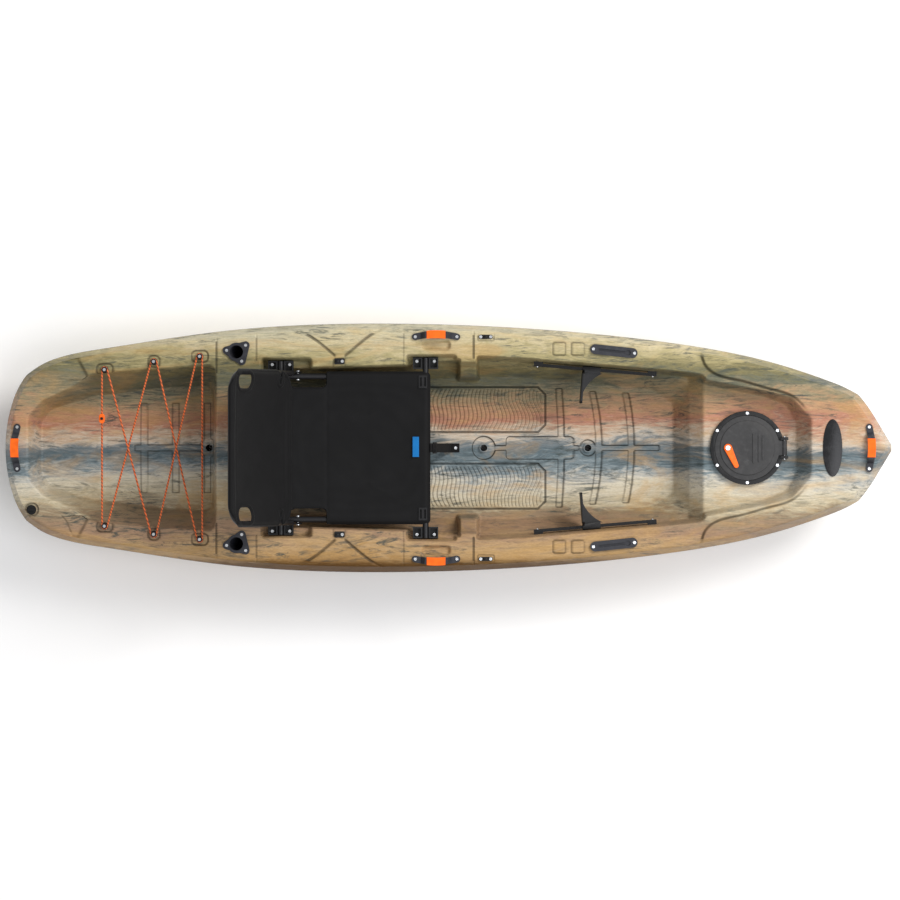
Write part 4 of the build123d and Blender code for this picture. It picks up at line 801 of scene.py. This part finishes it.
def moulded_detail(x, y, base):
    """Height added by channels, pads, grooves and steps, and the painted shade along their lines.
    """
    side = np.abs(y)
    channel, rib = size("channel"), size("rib_height")
    add = np.zeros(np.shape(x))

    def sunk(inside, depth, edge=4.0):
        return -depth * ease(inside / edge + 0.5)

    def groove(distance, width, depth, where):
        nonlocal add, mark
        add = add - where * depth * ease(1.5 - distance / width)
        # Painted shade along the groove, darkest in its middle.
        mark = np.maximum(mark, where * 0.9 * ease(1.45 - distance / width))

    tank = ease((TANK_FLOOR_Z + 22 - base) / 10) * (x < -700)
    cockpit = ease((COCKPIT_FLOOR_Z + 14 - base) / 8) * (x > -640)
    lines = np.zeros(np.shape(x))
    tank_lines = np.full(np.shape(x), -99.0)
    for middle, reach, bow in TRANSVERSE:
        here = x + bow * (side / 200) ** 2 - middle
        inside = np.minimum(10.5 - np.abs(here), reach - side)
        lines = np.minimum(lines, sunk(inside, channel) * np.where(middle < 0, tank, cockpit))
        if middle < 0:
            tank_lines = np.maximum(tank_lines, inside)
    tank_lines = np.maximum(tank_lines, depth_in_box(x, y, (-904, 0), (150, 10), 5))
    tank_lines = np.maximum(tank_lines, 31 - np.hypot(x + 804, y))
    # Painted shade along the edges of the tank well's channels and its scupper's dish.
    mark = tank * 0.8 * ease(1.4 - np.abs(tank_lines) / 2.2)
    for middle, half, mask in (
        ((-904, 0), (150, 10), tank), ((598, 0), (113, 9), cockpit), ((270, 0), (170, 8), cockpit),
    ):
        lines = np.minimum(lines, sunk(depth_in_box(x, y, middle, half, 5), channel) * mask)
    panel = depth_in_box(x, y, (308, 0), (114, 38), 12)
    lines = np.minimum(lines, sunk(panel, channel) * cockpit)
    for (middle, _), reach in zip(SCUPPERS, (39, 27, 31)):
        away = np.hypot(x - middle, y)
        dish = sunk(reach - away, channel + 1.5) * np.where(middle < 0, tank, cockpit)
        lines = np.minimum(lines, dish)
    add += np.where(x < -700, np.maximum(lines, -OVER_FOAM), lines)
    # Two ribbed foot pads, the ribs wandering, with a fine groove round each.
    pad = depth_in_box(x, side, (130, 129), (196, 76), 6)
    pad = np.minimum(pad, (506 - x - side) * 0.707)
    pad = np.minimum(pad, (248 - x + side) * 0.707)
    wave = 8 * np.sin(side / 21) + 9 * np.sin(side / 47 + x / 90)
    ribs = 0.5 + 0.5 * np.cos(2 * math.pi * (x + wave) / size("rib_pitch"))
    add += cockpit * rib * ribs**1.5 * ease(pad / 6 - 1)
    groove(np.abs(pad), 2.4, 3.4, cockpit)
    # Grooves and steps of the side decks.
    on_deck = ease((base - DECK + 6) / 4) * (side > 225)
    for line in (V_GROOVE, V_GROOVE_FORE):
        groove(segment_distance(x, side, line), 3.4, 4.0, on_deck)
    for station, low, high, strength in DECK_LINES:
        near = np.where((side > low) & (side < high), np.abs(x - station), 99)
        groove(near, 2.6, 2.8, on_deck * strength)
    stern_line = segment_distance(x, -y, ((-1325, 206), (-1292, 212), (-1266, 243), (-1248, 290)))
    groove(stern_line, 2.4, 2.4, on_deck * 0.7)
    patch = depth_in_box(x, side, (-361, 280), (20, 14), 4)
    groove(np.abs(patch), 2.2, 1.8, on_deck * 0.7)
    for middle in (367, 428):
        square = depth_in_box(x, side, (middle, 328), (19, 20), 5)
        add += on_deck * 2.4 * ease(square / 4 + 0.5)
        groove(np.abs(square + 2), 2.4, 1.8, on_deck * 0.8)
    seat = depth_in_box(x, side, (123.5, 368), (27, 13), 5)
    groove(np.abs(seat), 2.2, 1.8, on_deck * 0.7)
    for hook_x, hook_y, long in HOOK_FLATS:
        inside = depth_in_box(x, side, (hook_x, hook_y), (long, 19), 15)
        add += on_deck * sunk(inside, 2.0)
        groove(np.abs(inside), 3.2, 1.5, on_deck)
    # The stern deck dips to a crease where the raised side decks begin.
    crease = segment_distance(x, side, ((-1187, 236), (-1217, 292), (-1217, 400)))
    behind = x < -1187 - np.clip((side - 236) * 0.55, 0, 30)
    add -= on_deck * 8 * ease(1 - crease / 95) * np.where(behind, ease(crease / 16), 0)
    # The bow deck stands proud of the side decks, with a long soft edge.
    bow = depth_inside(x, side, [(1500, 0), (1500, 420), (834, 420), *RIDGE_EDGE, (1206, 0)])
    fade = (1 - ease((x - 1130) / 90)) * ease((334 - side) / 40)
    add += np.where(x > 780, 10 * ease(bow / 13) * fade, 0)
    plug = np.hypot(x - DRAIN[0], y - DRAIN[1])
    groove(np.abs(plug - 21), 3.0, 2.0, np.where(plug < 40, 1.0, 0.0))
    return add, mark


def running_share(weight, lowest=0.35):
    """The share of each row's weight that lies before each place, from 0 to 1."""
    weight = weight + lowest
    total = np.concatenate([np.zeros((len(weight), 1)), np.cumsum(weight, axis=1)], axis=1)
    return total / total[:, -1:]


def running_mean(values, width):
    """A row of values averaged over this many neighbours."""
    return np.convolve(np.pad(values, width // 2, "edge"), np.ones(width) / width, "valid")


# Places along the side and across the deck where the surface is measured for the grid.
SIDE_PLACES, CROSS_PLACES = 3001, 557


def shell_grid(field, stations=1060, columns=400):
    """Grid places over the deck, closer together where the surface is steep or detailed."""
    dense = natural_spline([(a * LENGTH / 2, o * BEAM / 2) for a, o in SIDE_SHAPE], SIDE_PLACES)
    side = dense / (LENGTH / 2, BEAM / 2)
    fade_stern = np.clip(1 - np.linspace(0, 1, SIDE_PLACES) / 0.22, 0, 1) ** 2
    fade_bow = np.clip(1 - np.linspace(1, 0, SIDE_PLACES) / 0.26, 0, 1) ** 2

    def places(index, across):
        """Plan places for rows at these dense indices and these shares across."""
        along, out = side[index, 0][:, None], side[index, 1][:, None]
        x_side, y_side, _ = deck_edge(along, out, np.ones_like(across), np.zeros_like(across))
        stern_x, _, _ = deck_edge(side[0, 0], side[0, 1], across, np.full(across.shape, -1))
        bow_x, bow_y, _ = deck_edge(side[-1, 0], side[-1, 1], across, np.full(across.shape, 1))
        stern_edge, _, _ = deck_edge(*side[0], np.ones(1), np.zeros(1))
        bow_edge, bow_half, _ = deck_edge(*side[-1], np.ones(1), np.zeros(1))
        fs, fb = fade_stern[index][:, None], fade_bow[index][:, None]
        x = x_side + (stern_x - stern_edge) * fs + (bow_x - bow_edge) * fb
        y = y_side * across + (bow_y - bow_half * across) * fb
        return x, y

    fine = np.tile(np.linspace(-1, 1, CROSS_PLACES), (SIDE_PLACES, 1))
    pick = np.arange(0, SIDE_PLACES, 2)
    x, y = places(pick, fine[pick])
    base = sampled(field, x, y)
    z = base + moulded_detail(x, y, base)[0]
    steep = np.abs(np.diff(z, axis=0)) / np.maximum(np.abs(np.diff(x, axis=0)), 0.3)
    steep = np.sort(np.minimum(steep, 8), axis=1)[:, -120:].mean(axis=1)
    # The ribbed pads need close rows along their whole length.
    middle = x[1:, x.shape[1] // 2]
    weight = 1 + 0.9 * steep + 3.0 * ((middle > -70) & (middle < 340))
    total = np.concatenate([[0], np.cumsum(running_mean(weight, 9))])
    rows = np.interp(np.linspace(0, total[-1], stations), total, pick)
    index = np.unique(np.clip(np.round(rows).astype(int), 0, SIDE_PLACES - 1))
    x, y = places(index, fine[index])
    base = sampled(field, x, y)
    z = base + moulded_detail(x, y, base)[0]
    step = np.diff(y, axis=1)
    slope = np.diff(z, axis=1) / np.maximum(np.abs(step), 1e-3)
    bend = np.abs(np.diff(slope, axis=1, prepend=slope[:, :1]))
    weight = np.minimum(np.hypot(1, slope), 8) + 2.0 * np.minimum(bend, 2.0)
    for axis, width in ((0, 9), (1, 5)) * 2:
        weight = np.apply_along_axis(running_mean, axis, weight, width)
    # Both halves share one spacing, so that the two sides match.
    weight = (weight + weight[:, ::-1]) / 2
    total = running_share(weight)
    across = np.stack(
        [np.interp(np.linspace(0, 1, columns), row, np.linspace(-1, 1, len(row))) for row in total]
    )
    across = (across - across[:, ::-1]) / 2
    x, y = places(index, across)
    return x, y, across, side[index]


def ring_places(across, side):
    """Along, out, across and end of each place round the outline, in order."""
    rows, columns = across.shape
    along, out = side[:, 0], side[:, 1]
    parts = [
        (along, out, np.ones(rows), np.zeros(rows)),
        (along[-1], out[-1], across[-1, ::-1][1:-1], 1),
        (along[::-1], out[::-1], -np.ones(rows), np.zeros(rows)),
        (along[0], out[0], across[0, 1:-1], -1),
    ]
    made = [np.concatenate([np.broadcast_to(p[k], p[2].shape) for p in parts]) for k in range(4)]
    made[3] = made[3].astype(float)
    corner = np.isclose(np.abs(made[2]), 1)
    made[3][corner] = 0
    return made


def ring_index(rows, columns):
    """The grid's own boundary points, in the order of ring_places."""
    left = np.arange(rows) * columns + columns - 1
    bow = (rows - 1) * columns + np.arange(columns - 2, 0, -1)
    right = np.arange(rows - 1, -1, -1) * columns
    stern = np.arange(1, columns - 1)
    return np.concatenate([left, bow, right, stern])


def band_faces(upper, lower):
    """Quads between two closed rings of point numbers."""
    return np.stack([upper, lower, np.roll(lower, -1), np.roll(upper, -1)], axis=1)


def circle_depth(middle, radius, low, high):
    """A round opening's depth for cut_opening, between two heights."""

    def depth(points):
        inside = radius - np.hypot(points[..., 0] - middle[0], points[..., 1] - middle[1])
        level = (points[..., 2] > low) & (points[..., 2] < high)
        return np.where(level, inside, -abs(radius) - 1)

    return depth


# How far in from the edge the deck starts to roll over, twice the radius it rolls with, and
# the rim's levels as shares of its height.
ROLL_REACH, ROLL_ROUND = 11, 32
RIM_LEVELS = (0.965, 0.90, 0.78, 0.62, 0.46, 0.30, 0.15, 0.03, 0.0)
shell = {}


def deck_grid():
    """The deck's grid, worked out once for the deck and the hull."""
    if not shell:
        shell["field"] = wells_height()
        shell["grid"] = shell_grid(shell["field"])
    return shell["field"], shell["grid"]


def build_deck():
    """The upper shell: side decks, wells, moulded detail and the rim down to the seam."""
    field, (x, y, across, side) = deck_grid()
    rows, columns = x.shape
    base = sampled(field, x, y)
    detail, mark = moulded_detail(x, y, base)
    z = base + detail
    ring = ring_places(across, side)
    edge_x, edge_y, edge_z = deck_edge(*ring)
    # The deck rolls over into the rim, over the last few millimetres.
    step = max(1, len(edge_x) // 900)
    loop = np.stack([edge_x, edge_y], axis=1)[::step]
    near_edge = np.full(x.shape, 99.0)
    outer = (np.abs(across) > 0.93) | (x < -1440) | (x > 1340)
    near_edge[outer] = segment_distance(x[outer], y[outer], loop, closed=True)
    roll = np.clip(ROLL_REACH - near_edge, 0, ROLL_REACH)
    z = z - roll**2 / ROLL_ROUND
    # Painted shade: the detail's dark lines, plus darkening wherever the moulded detail is steep,
    # kept clear of the rim.
    across_x = np.gradient(detail, axis=0) / np.maximum(np.abs(np.gradient(x, axis=0)), 0.4)
    across_y = np.gradient(detail, axis=1) / np.maximum(np.abs(np.gradient(y, axis=1)), 0.4)
    line = np.maximum(mark, ease(np.hypot(across_x, across_y) / 1.1 - 0.18)) * (near_edge > 12)
    points = np.stack([x, y, z, line], axis=-1).reshape(-1, 4)
    faces = grid_faces(rows, columns)[:, ::-1]
    boundary = ring_index(rows, columns)
    points[boundary, 0], points[boundary, 1] = edge_x, edge_y
    upper = boundary
    drop = ROLL_REACH**2 / ROLL_ROUND
    for level in RIM_LEVELS:
        height = SEAM + (edge_z - drop - SEAM) * level
        px, py = rim_point(*ring, height)
        if level < 0.01:
            px, py = px * 0.9988, py * 0.996
        lower = np.arange(len(ring[0])) + len(points)
        points = np.concatenate([points, np.stack([px, py, height, 0 * px], axis=1)])
        faces = np.concatenate([faces, band_faces(upper, lower)])
        upper = lower
    points[:, 0], points[:, 1] = eased_corners(points[:, 0], points[:, 1])
    for opening in DECK_OPENINGS:
        points, faces = cut_opening(points, faces, circle_depth(*opening))
    points, faces = used_only(points, faces)
    piece = new_piece(
        "deck_shell", points[:, :3], faces, finish_of("camo_plastic"),
        replaces=["deck"], sharp=70,
    )
    # The painted shade rides on the points for the material to darken.
    lines = piece.data.attributes.new("moulded_line", "FLOAT", "POINT")
    lines.data.foreach_set("value", points[:, 3].astype(np.float32))
    return piece


def hull_levels():
    """Height and shares of the hull's levels, with their chines softened."""
    levels = np.array(HULL_LEVELS, float)
    for _ in range(3):
        cut = [levels[0]]
        for a, b in zip(levels, levels[1:]):
            cut += [a * 0.75 + b * 0.25, a * 0.25 + b * 0.75]
        levels = np.array(cut + [levels[-1]])
    return levels[::-1]


def build_hull():
    """The lower shell, from the seam down to the keel, with two shallow tunnels."""
    _, (_, _, across, side) = deck_grid()
    every = np.arange(0, across.shape[0], 3)
    every[-1] = across.shape[0] - 1
    columns = 121
    side = side[every]
    across = np.tile(np.linspace(-1, 1, columns), (len(every), 1))
    ring = ring_places(across, side)
    points = np.zeros((0, 3))
    faces = np.zeros((0, 4), int)
    upper = None
    for height, half, stern, bow in hull_levels():
        px, py = outline_point(*ring, half * BEAM / 2, stern * LENGTH / 2, bow * LENGTH / 2)
        lower = np.arange(len(px)) + len(points)
        px, py = eased_corners(px, py)
        points = np.concatenate([points, np.stack([px, py, np.full(len(px), height)], axis=1)])
        if upper is not None:
            faces = np.concatenate([faces, band_faces(upper, lower)])
        upper = lower
    _, half, stern, bow = HULL_LEVELS[0]
    half, stern, bow = half * BEAM / 2, stern * LENGTH / 2, bow * LENGTH / 2
    middle, reach = (bow - stern) / 2, (bow + stern) / 2
    along, out = side[:, 0][:, None], side[:, 1][:, None]
    share = np.linspace(0, 1, len(every))[:, None]
    x = middle + reach * along * np.ones_like(across)
    for end, row, away in ((-1, 0, share), (1, -1, 1 - share)):
        rim, _ = outline_point(*side[row], across, np.full(across.shape, end), half, stern, bow)
        x = x + (rim - (middle + reach * side[row, 0])) * np.clip(1 - away / 0.25, 0, 1) ** 2
    y = half * out * across
    tunnel = ease(1 - np.abs(np.abs(y) - 120) / 34) * ease((880 - np.abs(x + 60)) / 160)
    z = 9 * tunnel
    first = len(points)
    points = np.concatenate([points, np.stack([x, y, z], axis=-1).reshape(-1, 3)])
    faces = np.concatenate([faces, grid_faces(len(every), columns, first)])
    inner = ring_index(len(every), columns) + first
    # The bottom's own edge is the lowest ring.
    joined = np.arange(len(points))
    joined[inner] = upper
    faces = joined[faces]
    for centre, _ in SCUPPERS:
        points, faces = cut_opening(points, faces, circle_depth((centre, 0), SCUPPER_BORE, -5, 6))
    points, faces = used_only(points, faces)
    return new_piece(
        "hull_shell", points, faces, finish_of("camo_plastic"),
        replaces=["hull"], sharp=70,
    )


# --- Seat ----------------------------------------------------------------------------------
HINGE = np.array((-500.0, 0.0, 295.0))
# The backrest leans 30 degrees aft: along it, and out of its front.
BACK_UP = np.array((-0.5, 0.0, 0.8660254))
BACK_OUT = np.array((0.8660254, 0.0, 0.5))


def cloth_panel(half_x, half_y, corner, step, holes=()):
    """A flat grid over a rounded rectangle, its edge drawn onto the outline, with holes."""
    low_x, high_x = half_x
    columns = int(round((high_x - low_x) / step)) + 1
    rows = int(round(2 * half_y / step)) + 1
    x, y = np.meshgrid(
        np.linspace(low_x, high_x, columns), np.linspace(-half_y, half_y, rows), indexing="ij"
    )
    points = np.stack([x.ravel(), y.ravel(), np.zeros(x.size)], axis=1)
    faces = grid_faces(columns, rows)
    middle, half = ((low_x + high_x) / 2, 0), ((high_x - low_x) / 2, half_y)

    def outside(places):
        return -depth_in_box(places[..., 0], places[..., 1], middle, half, corner)

    points, faces = cut_opening(points, faces, outside)
    for hole in holes:
        points, faces = cut_opening(points, faces, hole)
    return used_only(points, faces)


def rim_edges(faces):
    """The edges that only one face uses, each as its first and last point."""
    edges = {(int(a), int(b)): True for face in faces for a, b in zip(face, np.roll(face, -1))}
    return [(a, b) for a, b in edges if (b, a) not in edges]


def thickened(points, faces, out, thickness):
    """A closed skin of this thickness round a sheet of points and quads."""
    count = len(points)
    both = np.concatenate([points + out * thickness / 2, points - out * thickness / 2])
    walls = [(b, a, a + count, b + count) for a, b in rim_edges(faces)]
    under = faces[:, ::-1] + count
    return both, np.concatenate([faces, under, np.array(walls)])


def hem(points, faces, out, radius, inward=6.0):
    """Closed loops of binding round a sheet's edges: a soft round tape over the edge."""
    follows = dict(rim_edges(faces))
    sides = 10
    made_points, made_faces = [], []
    total = 0
    while follows:
        start = next(iter(follows))
        loop = [start]
        while follows.get(loop[-1]) is not None:
            after = follows.pop(loop[-1])
            if after == start:
                break
            loop.append(after)
        if len(loop) < 8:
            continue
        path = points[loop]
        normal = out[loop]
        for _ in range(2):
            path = (np.roll(path, 1, 0) + path * 2 + np.roll(path, -1, 0)) / 4
        along = np.roll(path, -1, 0) - np.roll(path, 1, 0)
        along /= np.linalg.norm(along, axis=1)[:, None] + 1e-9
        inside = np.cross(normal, along)
        turns = np.linspace(0, 2 * math.pi, sides, endpoint=False)
        rings = [
            path
            + inside * (inward * (0.5 + 0.5 * math.cos(turn)) - 1.5)
            + normal * radius * math.sin(turn)
            for turn in turns
        ]
        ring = np.stack(rings, axis=1)
        number = len(path)
        index = np.arange(number * sides).reshape(number, sides) + total
        after = np.roll(index, -1, axis=0)
        quads = np.stack([index, np.roll(index, -1, 1), np.roll(after, -1, 1), after], axis=-1)
        made_points.append(ring.reshape(-1, 3))
        made_faces.append(quads.reshape(-1, 4))
        total += number * sides
    return np.concatenate(made_points), np.concatenate(made_faces)


def surface_out(points, faces):
    """Unit normals of a sheet's points."""
    corners = points[faces]
    across = np.cross(corners[:, 2] - corners[:, 0], corners[:, 3] - corners[:, 1])
    out = np.zeros_like(points)
    for k in range(4):
        np.add.at(out, faces[:, k], across)
    return out / (np.linalg.norm(out, axis=1)[:, None] + 1e-9)


def crinkle(x, y, height):
    """Soft pulls and folds in stretched cloth."""
    return height * (
        0.5 * np.sin(x / 23 + 1.7 * np.sin(y / 61))
        + 0.35 * np.sin(y / 19 + 2.1 * np.sin(x / 47) + 1.3)
        + 0.25 * np.sin((x + y) / 13 + 0.6)
    )


def build_seat_base():
    """The seat's sling: one sheet over the side bars, sagging, with its front turned down."""
    sag = size("base_sag")

    def side_notch(points):
        x, y = points[..., 0], np.abs(points[..., 1])
        return depth_in_box(x, y, (-463, 236), (59, 36), 14)

    points, faces = cloth_panel((-522, -61.6), 252.4, 16, 5.0, [side_notch])
    x, y = points[:, 0].copy(), points[:, 1].copy()
    # Full depth in the middle, none over the bars.
    across = np.clip(1 - (np.abs(y) / 232) ** 2.4, 0, 1)
    along = np.clip(1 - np.abs((x + 300) / 222) ** 2.6, 0, 1)
    points[:, 2] = 309.2 - sag * across * (0.35 + 0.65 * along)
    points[:, 2] += crinkle(x, y, 0.9) * across * 0.8
    # Pulls run from the front buckles towards the middle.
    for side in (1, -1):
        pull = segment_distance(x, y, ((-92, side * 218), (-260, side * 120)))
        points[:, 2] += 1.4 * np.exp(-(pull / 7) ** 2) * across
    # A seam runs across, and the edges turn down over the bars.
    points[:, 2] -= 1.6 * np.exp(-((x + 404) / 3.0) ** 2)
    drop = np.maximum(0, np.abs(y) - 240)
    points[:, 2] -= np.where(x > -404, drop**2 * 0.06, 0)
    front = np.maximum(0, x + 76)
    points[:, 2] -= front**2 * 0.07
    out = surface_out(points, faces)
    skin, skin_faces = thickened(points, faces, out, 3.0)
    sheet = new_piece(
        "seat_base_cloth", skin, skin_faces, finish_of("seat_fabric"),
        replaces=["seat_base_sling"], sharp=60,
    )
    tape, tape_faces = hem(points, faces, out, 2.6, 7.0)
    edge = new_piece("seat_base_binding", tape, tape_faces, finish_of("webbing"))
    return sheet, edge


def slot_depth(middle, half_long, half_wide, turned=0.0):
    """A slot's depth for cut_opening: a straight slot with round ends."""
    ends = [
        (
            middle[0] + end * half_long * math.cos(turned),
            middle[1] + end * half_long * math.sin(turned),
        )
        for end in (-1, 1)
    ]

    def depth(points):
        side = points.copy()
        side[..., 1] = np.abs(side[..., 1])
        return half_wide - segment_distance(side[..., 0], side[..., 1], ends)

    return depth


def build_seat_back():
    """The backrest's panel: padded cloth over the back tube, with hand holes and slots."""
    bow = size("back_sag")
    holes = [slot_depth((338, 219), 15, 27), slot_depth((122, 236), 21, 8, math.radians(96))]
    points, faces = cloth_panel((62, 420), 256, 66, 4.5, holes)
    v, u = points[:, 0].copy(), points[:, 1].copy()
    across = np.clip(1 - (np.abs(u) / 238) ** 2.6, 0, 1)
    along = np.clip(1 - np.abs((v - 250) / 168) ** 3, 0, 1)
    w = 11.4 - bow * across * along + crinkle(v, u, 1.0) * across * 0.9
    w += 2.0 * np.exp(-((v - 407) / 9) ** 2)
    w -= 2.0 * np.exp(-((v - 391) / 3.0) ** 2)
    w -= 1.4 * np.exp(-((v - 96) / 3.0) ** 2)
    # The panel wraps back over the tube at its sides and top.
    rim = np.minimum(256 - np.abs(u), 420 - v)
    w -= np.clip(14 - rim, 0, 14) ** 2 * 0.055
    points = HINGE + v[:, None] * BACK_UP + w[:, None] * BACK_OUT
    points[:, 1] += u
    out = surface_out(points, faces)
    if out[:, 0].mean() < 0:
        faces = faces[:, ::-1]
        out = -out
    skin, skin_faces = thickened(points, faces, out, 4.0)
    sheet = new_piece(
        "seat_back_cloth", skin, skin_faces, finish_of("seat_fabric"),
        body="seat_back", replaces=["seat_back_sling"], sharp=60,
    )
    tape, tape_faces = hem(points, faces, out, 4.2, 14.0)
    edge = new_piece(
        "seat_back_binding", tape, tape_faces, finish_of("webbing"), "seat_back"
    )
    return sheet, edge


# --- Fittings ------------------------------------------------------------------------------
# Edge rounding of the moulded pieces, in millimetres.
ROUNDED = {
    "hatch_lid": 1.6, "hatch_ring": 1.6, "foot_pedal_left": 1.8, "foot_pedal_right": 1.8,
    "hatch_latch": 1.4, "cord_lock": 1.2, "cord_lock_button": 0.8, "bow_badge": 1.4,
}


def softened(node, reach):
    """A copy of a CAD piece with its moulded edges rounded, in place of the piece."""
    source = nodes[node]
    mesh = source.data.copy()
    work = bmesh.new()
    work.from_mesh(mesh)
    bmesh.ops.remove_doubles(work, verts=work.verts, dist=0.02 * MM)
    bmesh.ops.dissolve_limit(
        work, angle_limit=math.radians(2.0), verts=work.verts, edges=work.edges
    )
    sharp = [
        e for e in work.edges
        if len(e.link_faces) == 2
        and e.calc_face_angle(0) > math.radians(50)
        and e.calc_length() > reach * 0.5 * MM
    ]
    bmesh.ops.bevel(
        work, geom=sharp, offset=reach * MM, segments=3, profile=0.5, affect="EDGES",
        clamp_overlap=True,
    )
    work.to_mesh(mesh)
    work.free()
    return mesh


def slot_name_of(node):
    """The record's slot of a CAD node."""
    for part in frame["record"]["subparts"]:
        if part["node"] == node:
            return part["material_slot"]
    raise RuntimeError(node + " has no slot in the record")


def finish_fittings(names):
    """Gives these CAD pieces their materials, and rounds the edges of the moulded ones."""
    made = []
    for name in names:
        slot = slot_name_of(name)
        if name in ROUNDED:
            mesh = softened(name, ROUNDED[name])
            body = body_of(nodes[name])[0]
            piece = place_piece(
                name + "_moulded", mesh, finish_of(slot), body, [name], 35
            )
        else:
            piece = nodes[name]
            piece.data.materials.clear()
            piece.data.materials.append(finish_of(slot))
        made.append(piece)
    return made


# --- Studio --------------------------------------------------------------------------------
def soft_light(name, place, target, wide, power, tint):
    """A square soft light aimed at a place."""
    lamp = bpy.data.lights.new(name, "AREA")
    lamp.shape = "SQUARE"
    lamp.size = wide
    lamp.energy = power
    lamp.color = linear(tint)[:3]
    light = bpy.data.objects.new(name, lamp)
    bpy.context.scene.collection.objects.link(light)
    light.location = place
    light.rotation_euler = (Vector(target) - Vector(place)).to_track_quat("-Z", "Y").to_euler()
    return light


def build_stage():
    """Pale floor, soft light from the bow's left, and the camera straight above."""
    scene = bpy.context.scene
    mesh = bpy.data.meshes.new("studio_floor")
    reach = 30.0
    low = min(corner[2] for corner in cad_box) - 0.002
    corners = [(-1, -1), (1, -1), (1, 1), (-1, 1)]
    mesh.from_pydata([(x * reach, y * reach, low) for x, y in corners], [], [(0, 1, 2, 3)])
    mesh.materials.append(studio_paint())
    floor = bpy.data.objects.new("studio_floor", mesh)
    scene.collection.objects.link(floor)
    lights = [
        soft_light("soft_key", (4.4, 3.6, 5.6), (0, 0, 0.2), 3.4, 470.0, "FFFCF8"),
        soft_light("soft_fill", (2.8, -2.0, 7.8), (0, 0, 0.2), 5.0, 270.0, "F8FAFF"),
    ]
    world = bpy.data.worlds.new("studio_air")
    world.use_nodes = True
    sky = world.node_tree.nodes["Background"]
    sky.inputs["Color"].default_value = (1.0, 1.0, 1.0, 1.0)
    sky.inputs["Strength"].default_value = 0.54
    scene.world = world
    scene.view_settings.view_transform = "Standard"
    camera = bpy.data.cameras.new("overhead_camera")
    camera.lens = 165.0
    camera.sensor_width = 36.0
    camera.clip_end = 100.0
    eye = bpy.data.objects.new("overhead_camera", camera)
    eye.location = (0.005, -0.007, 14.0)
    scene.collection.objects.link(eye)
    scene.camera = eye
    return floor


# --- Operators and panel -------------------------------------------------------------------
class KAYAK_OT_stage(Operator):
    """Sets the floor, the lights, the air and the camera."""

    bl_idname = "kayak.stage"
    bl_label = "Build Studio"

    def execute(self, context):
        build_stage()
        return {"FINISHED"}


class KAYAK_OT_deck(Operator):
    """Builds the deck's shell with its wells, channels, pads and rim."""

    bl_idname = "kayak.deck"
    bl_label = "Build Deck"

    def execute(self, context):
        build_deck()
        return {"FINISHED"}


class KAYAK_OT_hull(Operator):
    """Builds the hull's shell below the seam."""

    bl_idname = "kayak.hull"
    bl_label = "Build Hull"

    def execute(self, context):
        build_hull()
        return {"FINISHED"}


class KAYAK_OT_seat_base(Operator):
    """Builds the cloth of the seat's base and its binding."""

    bl_idname = "kayak.seat_base"
    bl_label = "Build Seat Base"

    def execute(self, context):
        build_seat_base()
        return {"FINISHED"}


class KAYAK_OT_seat_back(Operator):
    """Builds the padded backrest and its binding."""

    bl_idname = "kayak.seat_back"
    bl_label = "Build Backrest"

    def execute(self, context):
        build_seat_back()
        return {"FINISHED"}


class KAYAK_OT_fittings(Operator):
    """Finishes the fittings: handles, holders, rails, hatch, straps, cord and screws."""

    bl_idname = "kayak.fittings"
    bl_label = "Finish Fittings"

    def execute(self, context):
        remade = ("deck", "hull", "seat_base_sling", "seat_back_sling")
        finish_fittings([name for name in nodes if name not in remade])
        return {"FINISHED"}


STEPS = (
    KAYAK_OT_stage, KAYAK_OT_deck, KAYAK_OT_hull, KAYAK_OT_seat_base, KAYAK_OT_seat_back,
    KAYAK_OT_fittings,
)


class KAYAK_PT_panel(Panel):
    """Lists the kayak's colours, sizes and building steps."""

    bl_idname = "KAYAK_PT_panel"
    bl_label = "Fishing Kayak"
    bl_space_type = "VIEW_3D"
    bl_region_type = "UI"
    bl_category = "Kayak"

    def draw(self, context):
        column = self.layout.column(align=True)
        for settings in (context.scene.kayak_colours, context.scene.kayak_sizes):
            for name in settings.bl_rna.properties.keys():
                if name not in ("rna_type", "name"):
                    column.prop(settings, name)
        for step in STEPS:
            column.operator(step.bl_idname)


CLASSES = (KayakColours, KayakSizes, *STEPS, KAYAK_PT_panel)


def register():
    for cls in CLASSES:
        bpy.utils.register_class(cls)
    bpy.types.Scene.kayak_colours = PointerProperty(type=KayakColours)
    bpy.types.Scene.kayak_sizes = PointerProperty(type=KayakSizes)


def unregister():
    del bpy.types.Scene.kayak_sizes
    del bpy.types.Scene.kayak_colours
    for cls in reversed(CLASSES):
        bpy.utils.unregister_class(cls)


def main():
    register()
    for step in STEPS:
        group, name = step.bl_idname.split(".")
        getattr(getattr(bpy.ops, group), name)()


if __name__ == "__main__":
    main()
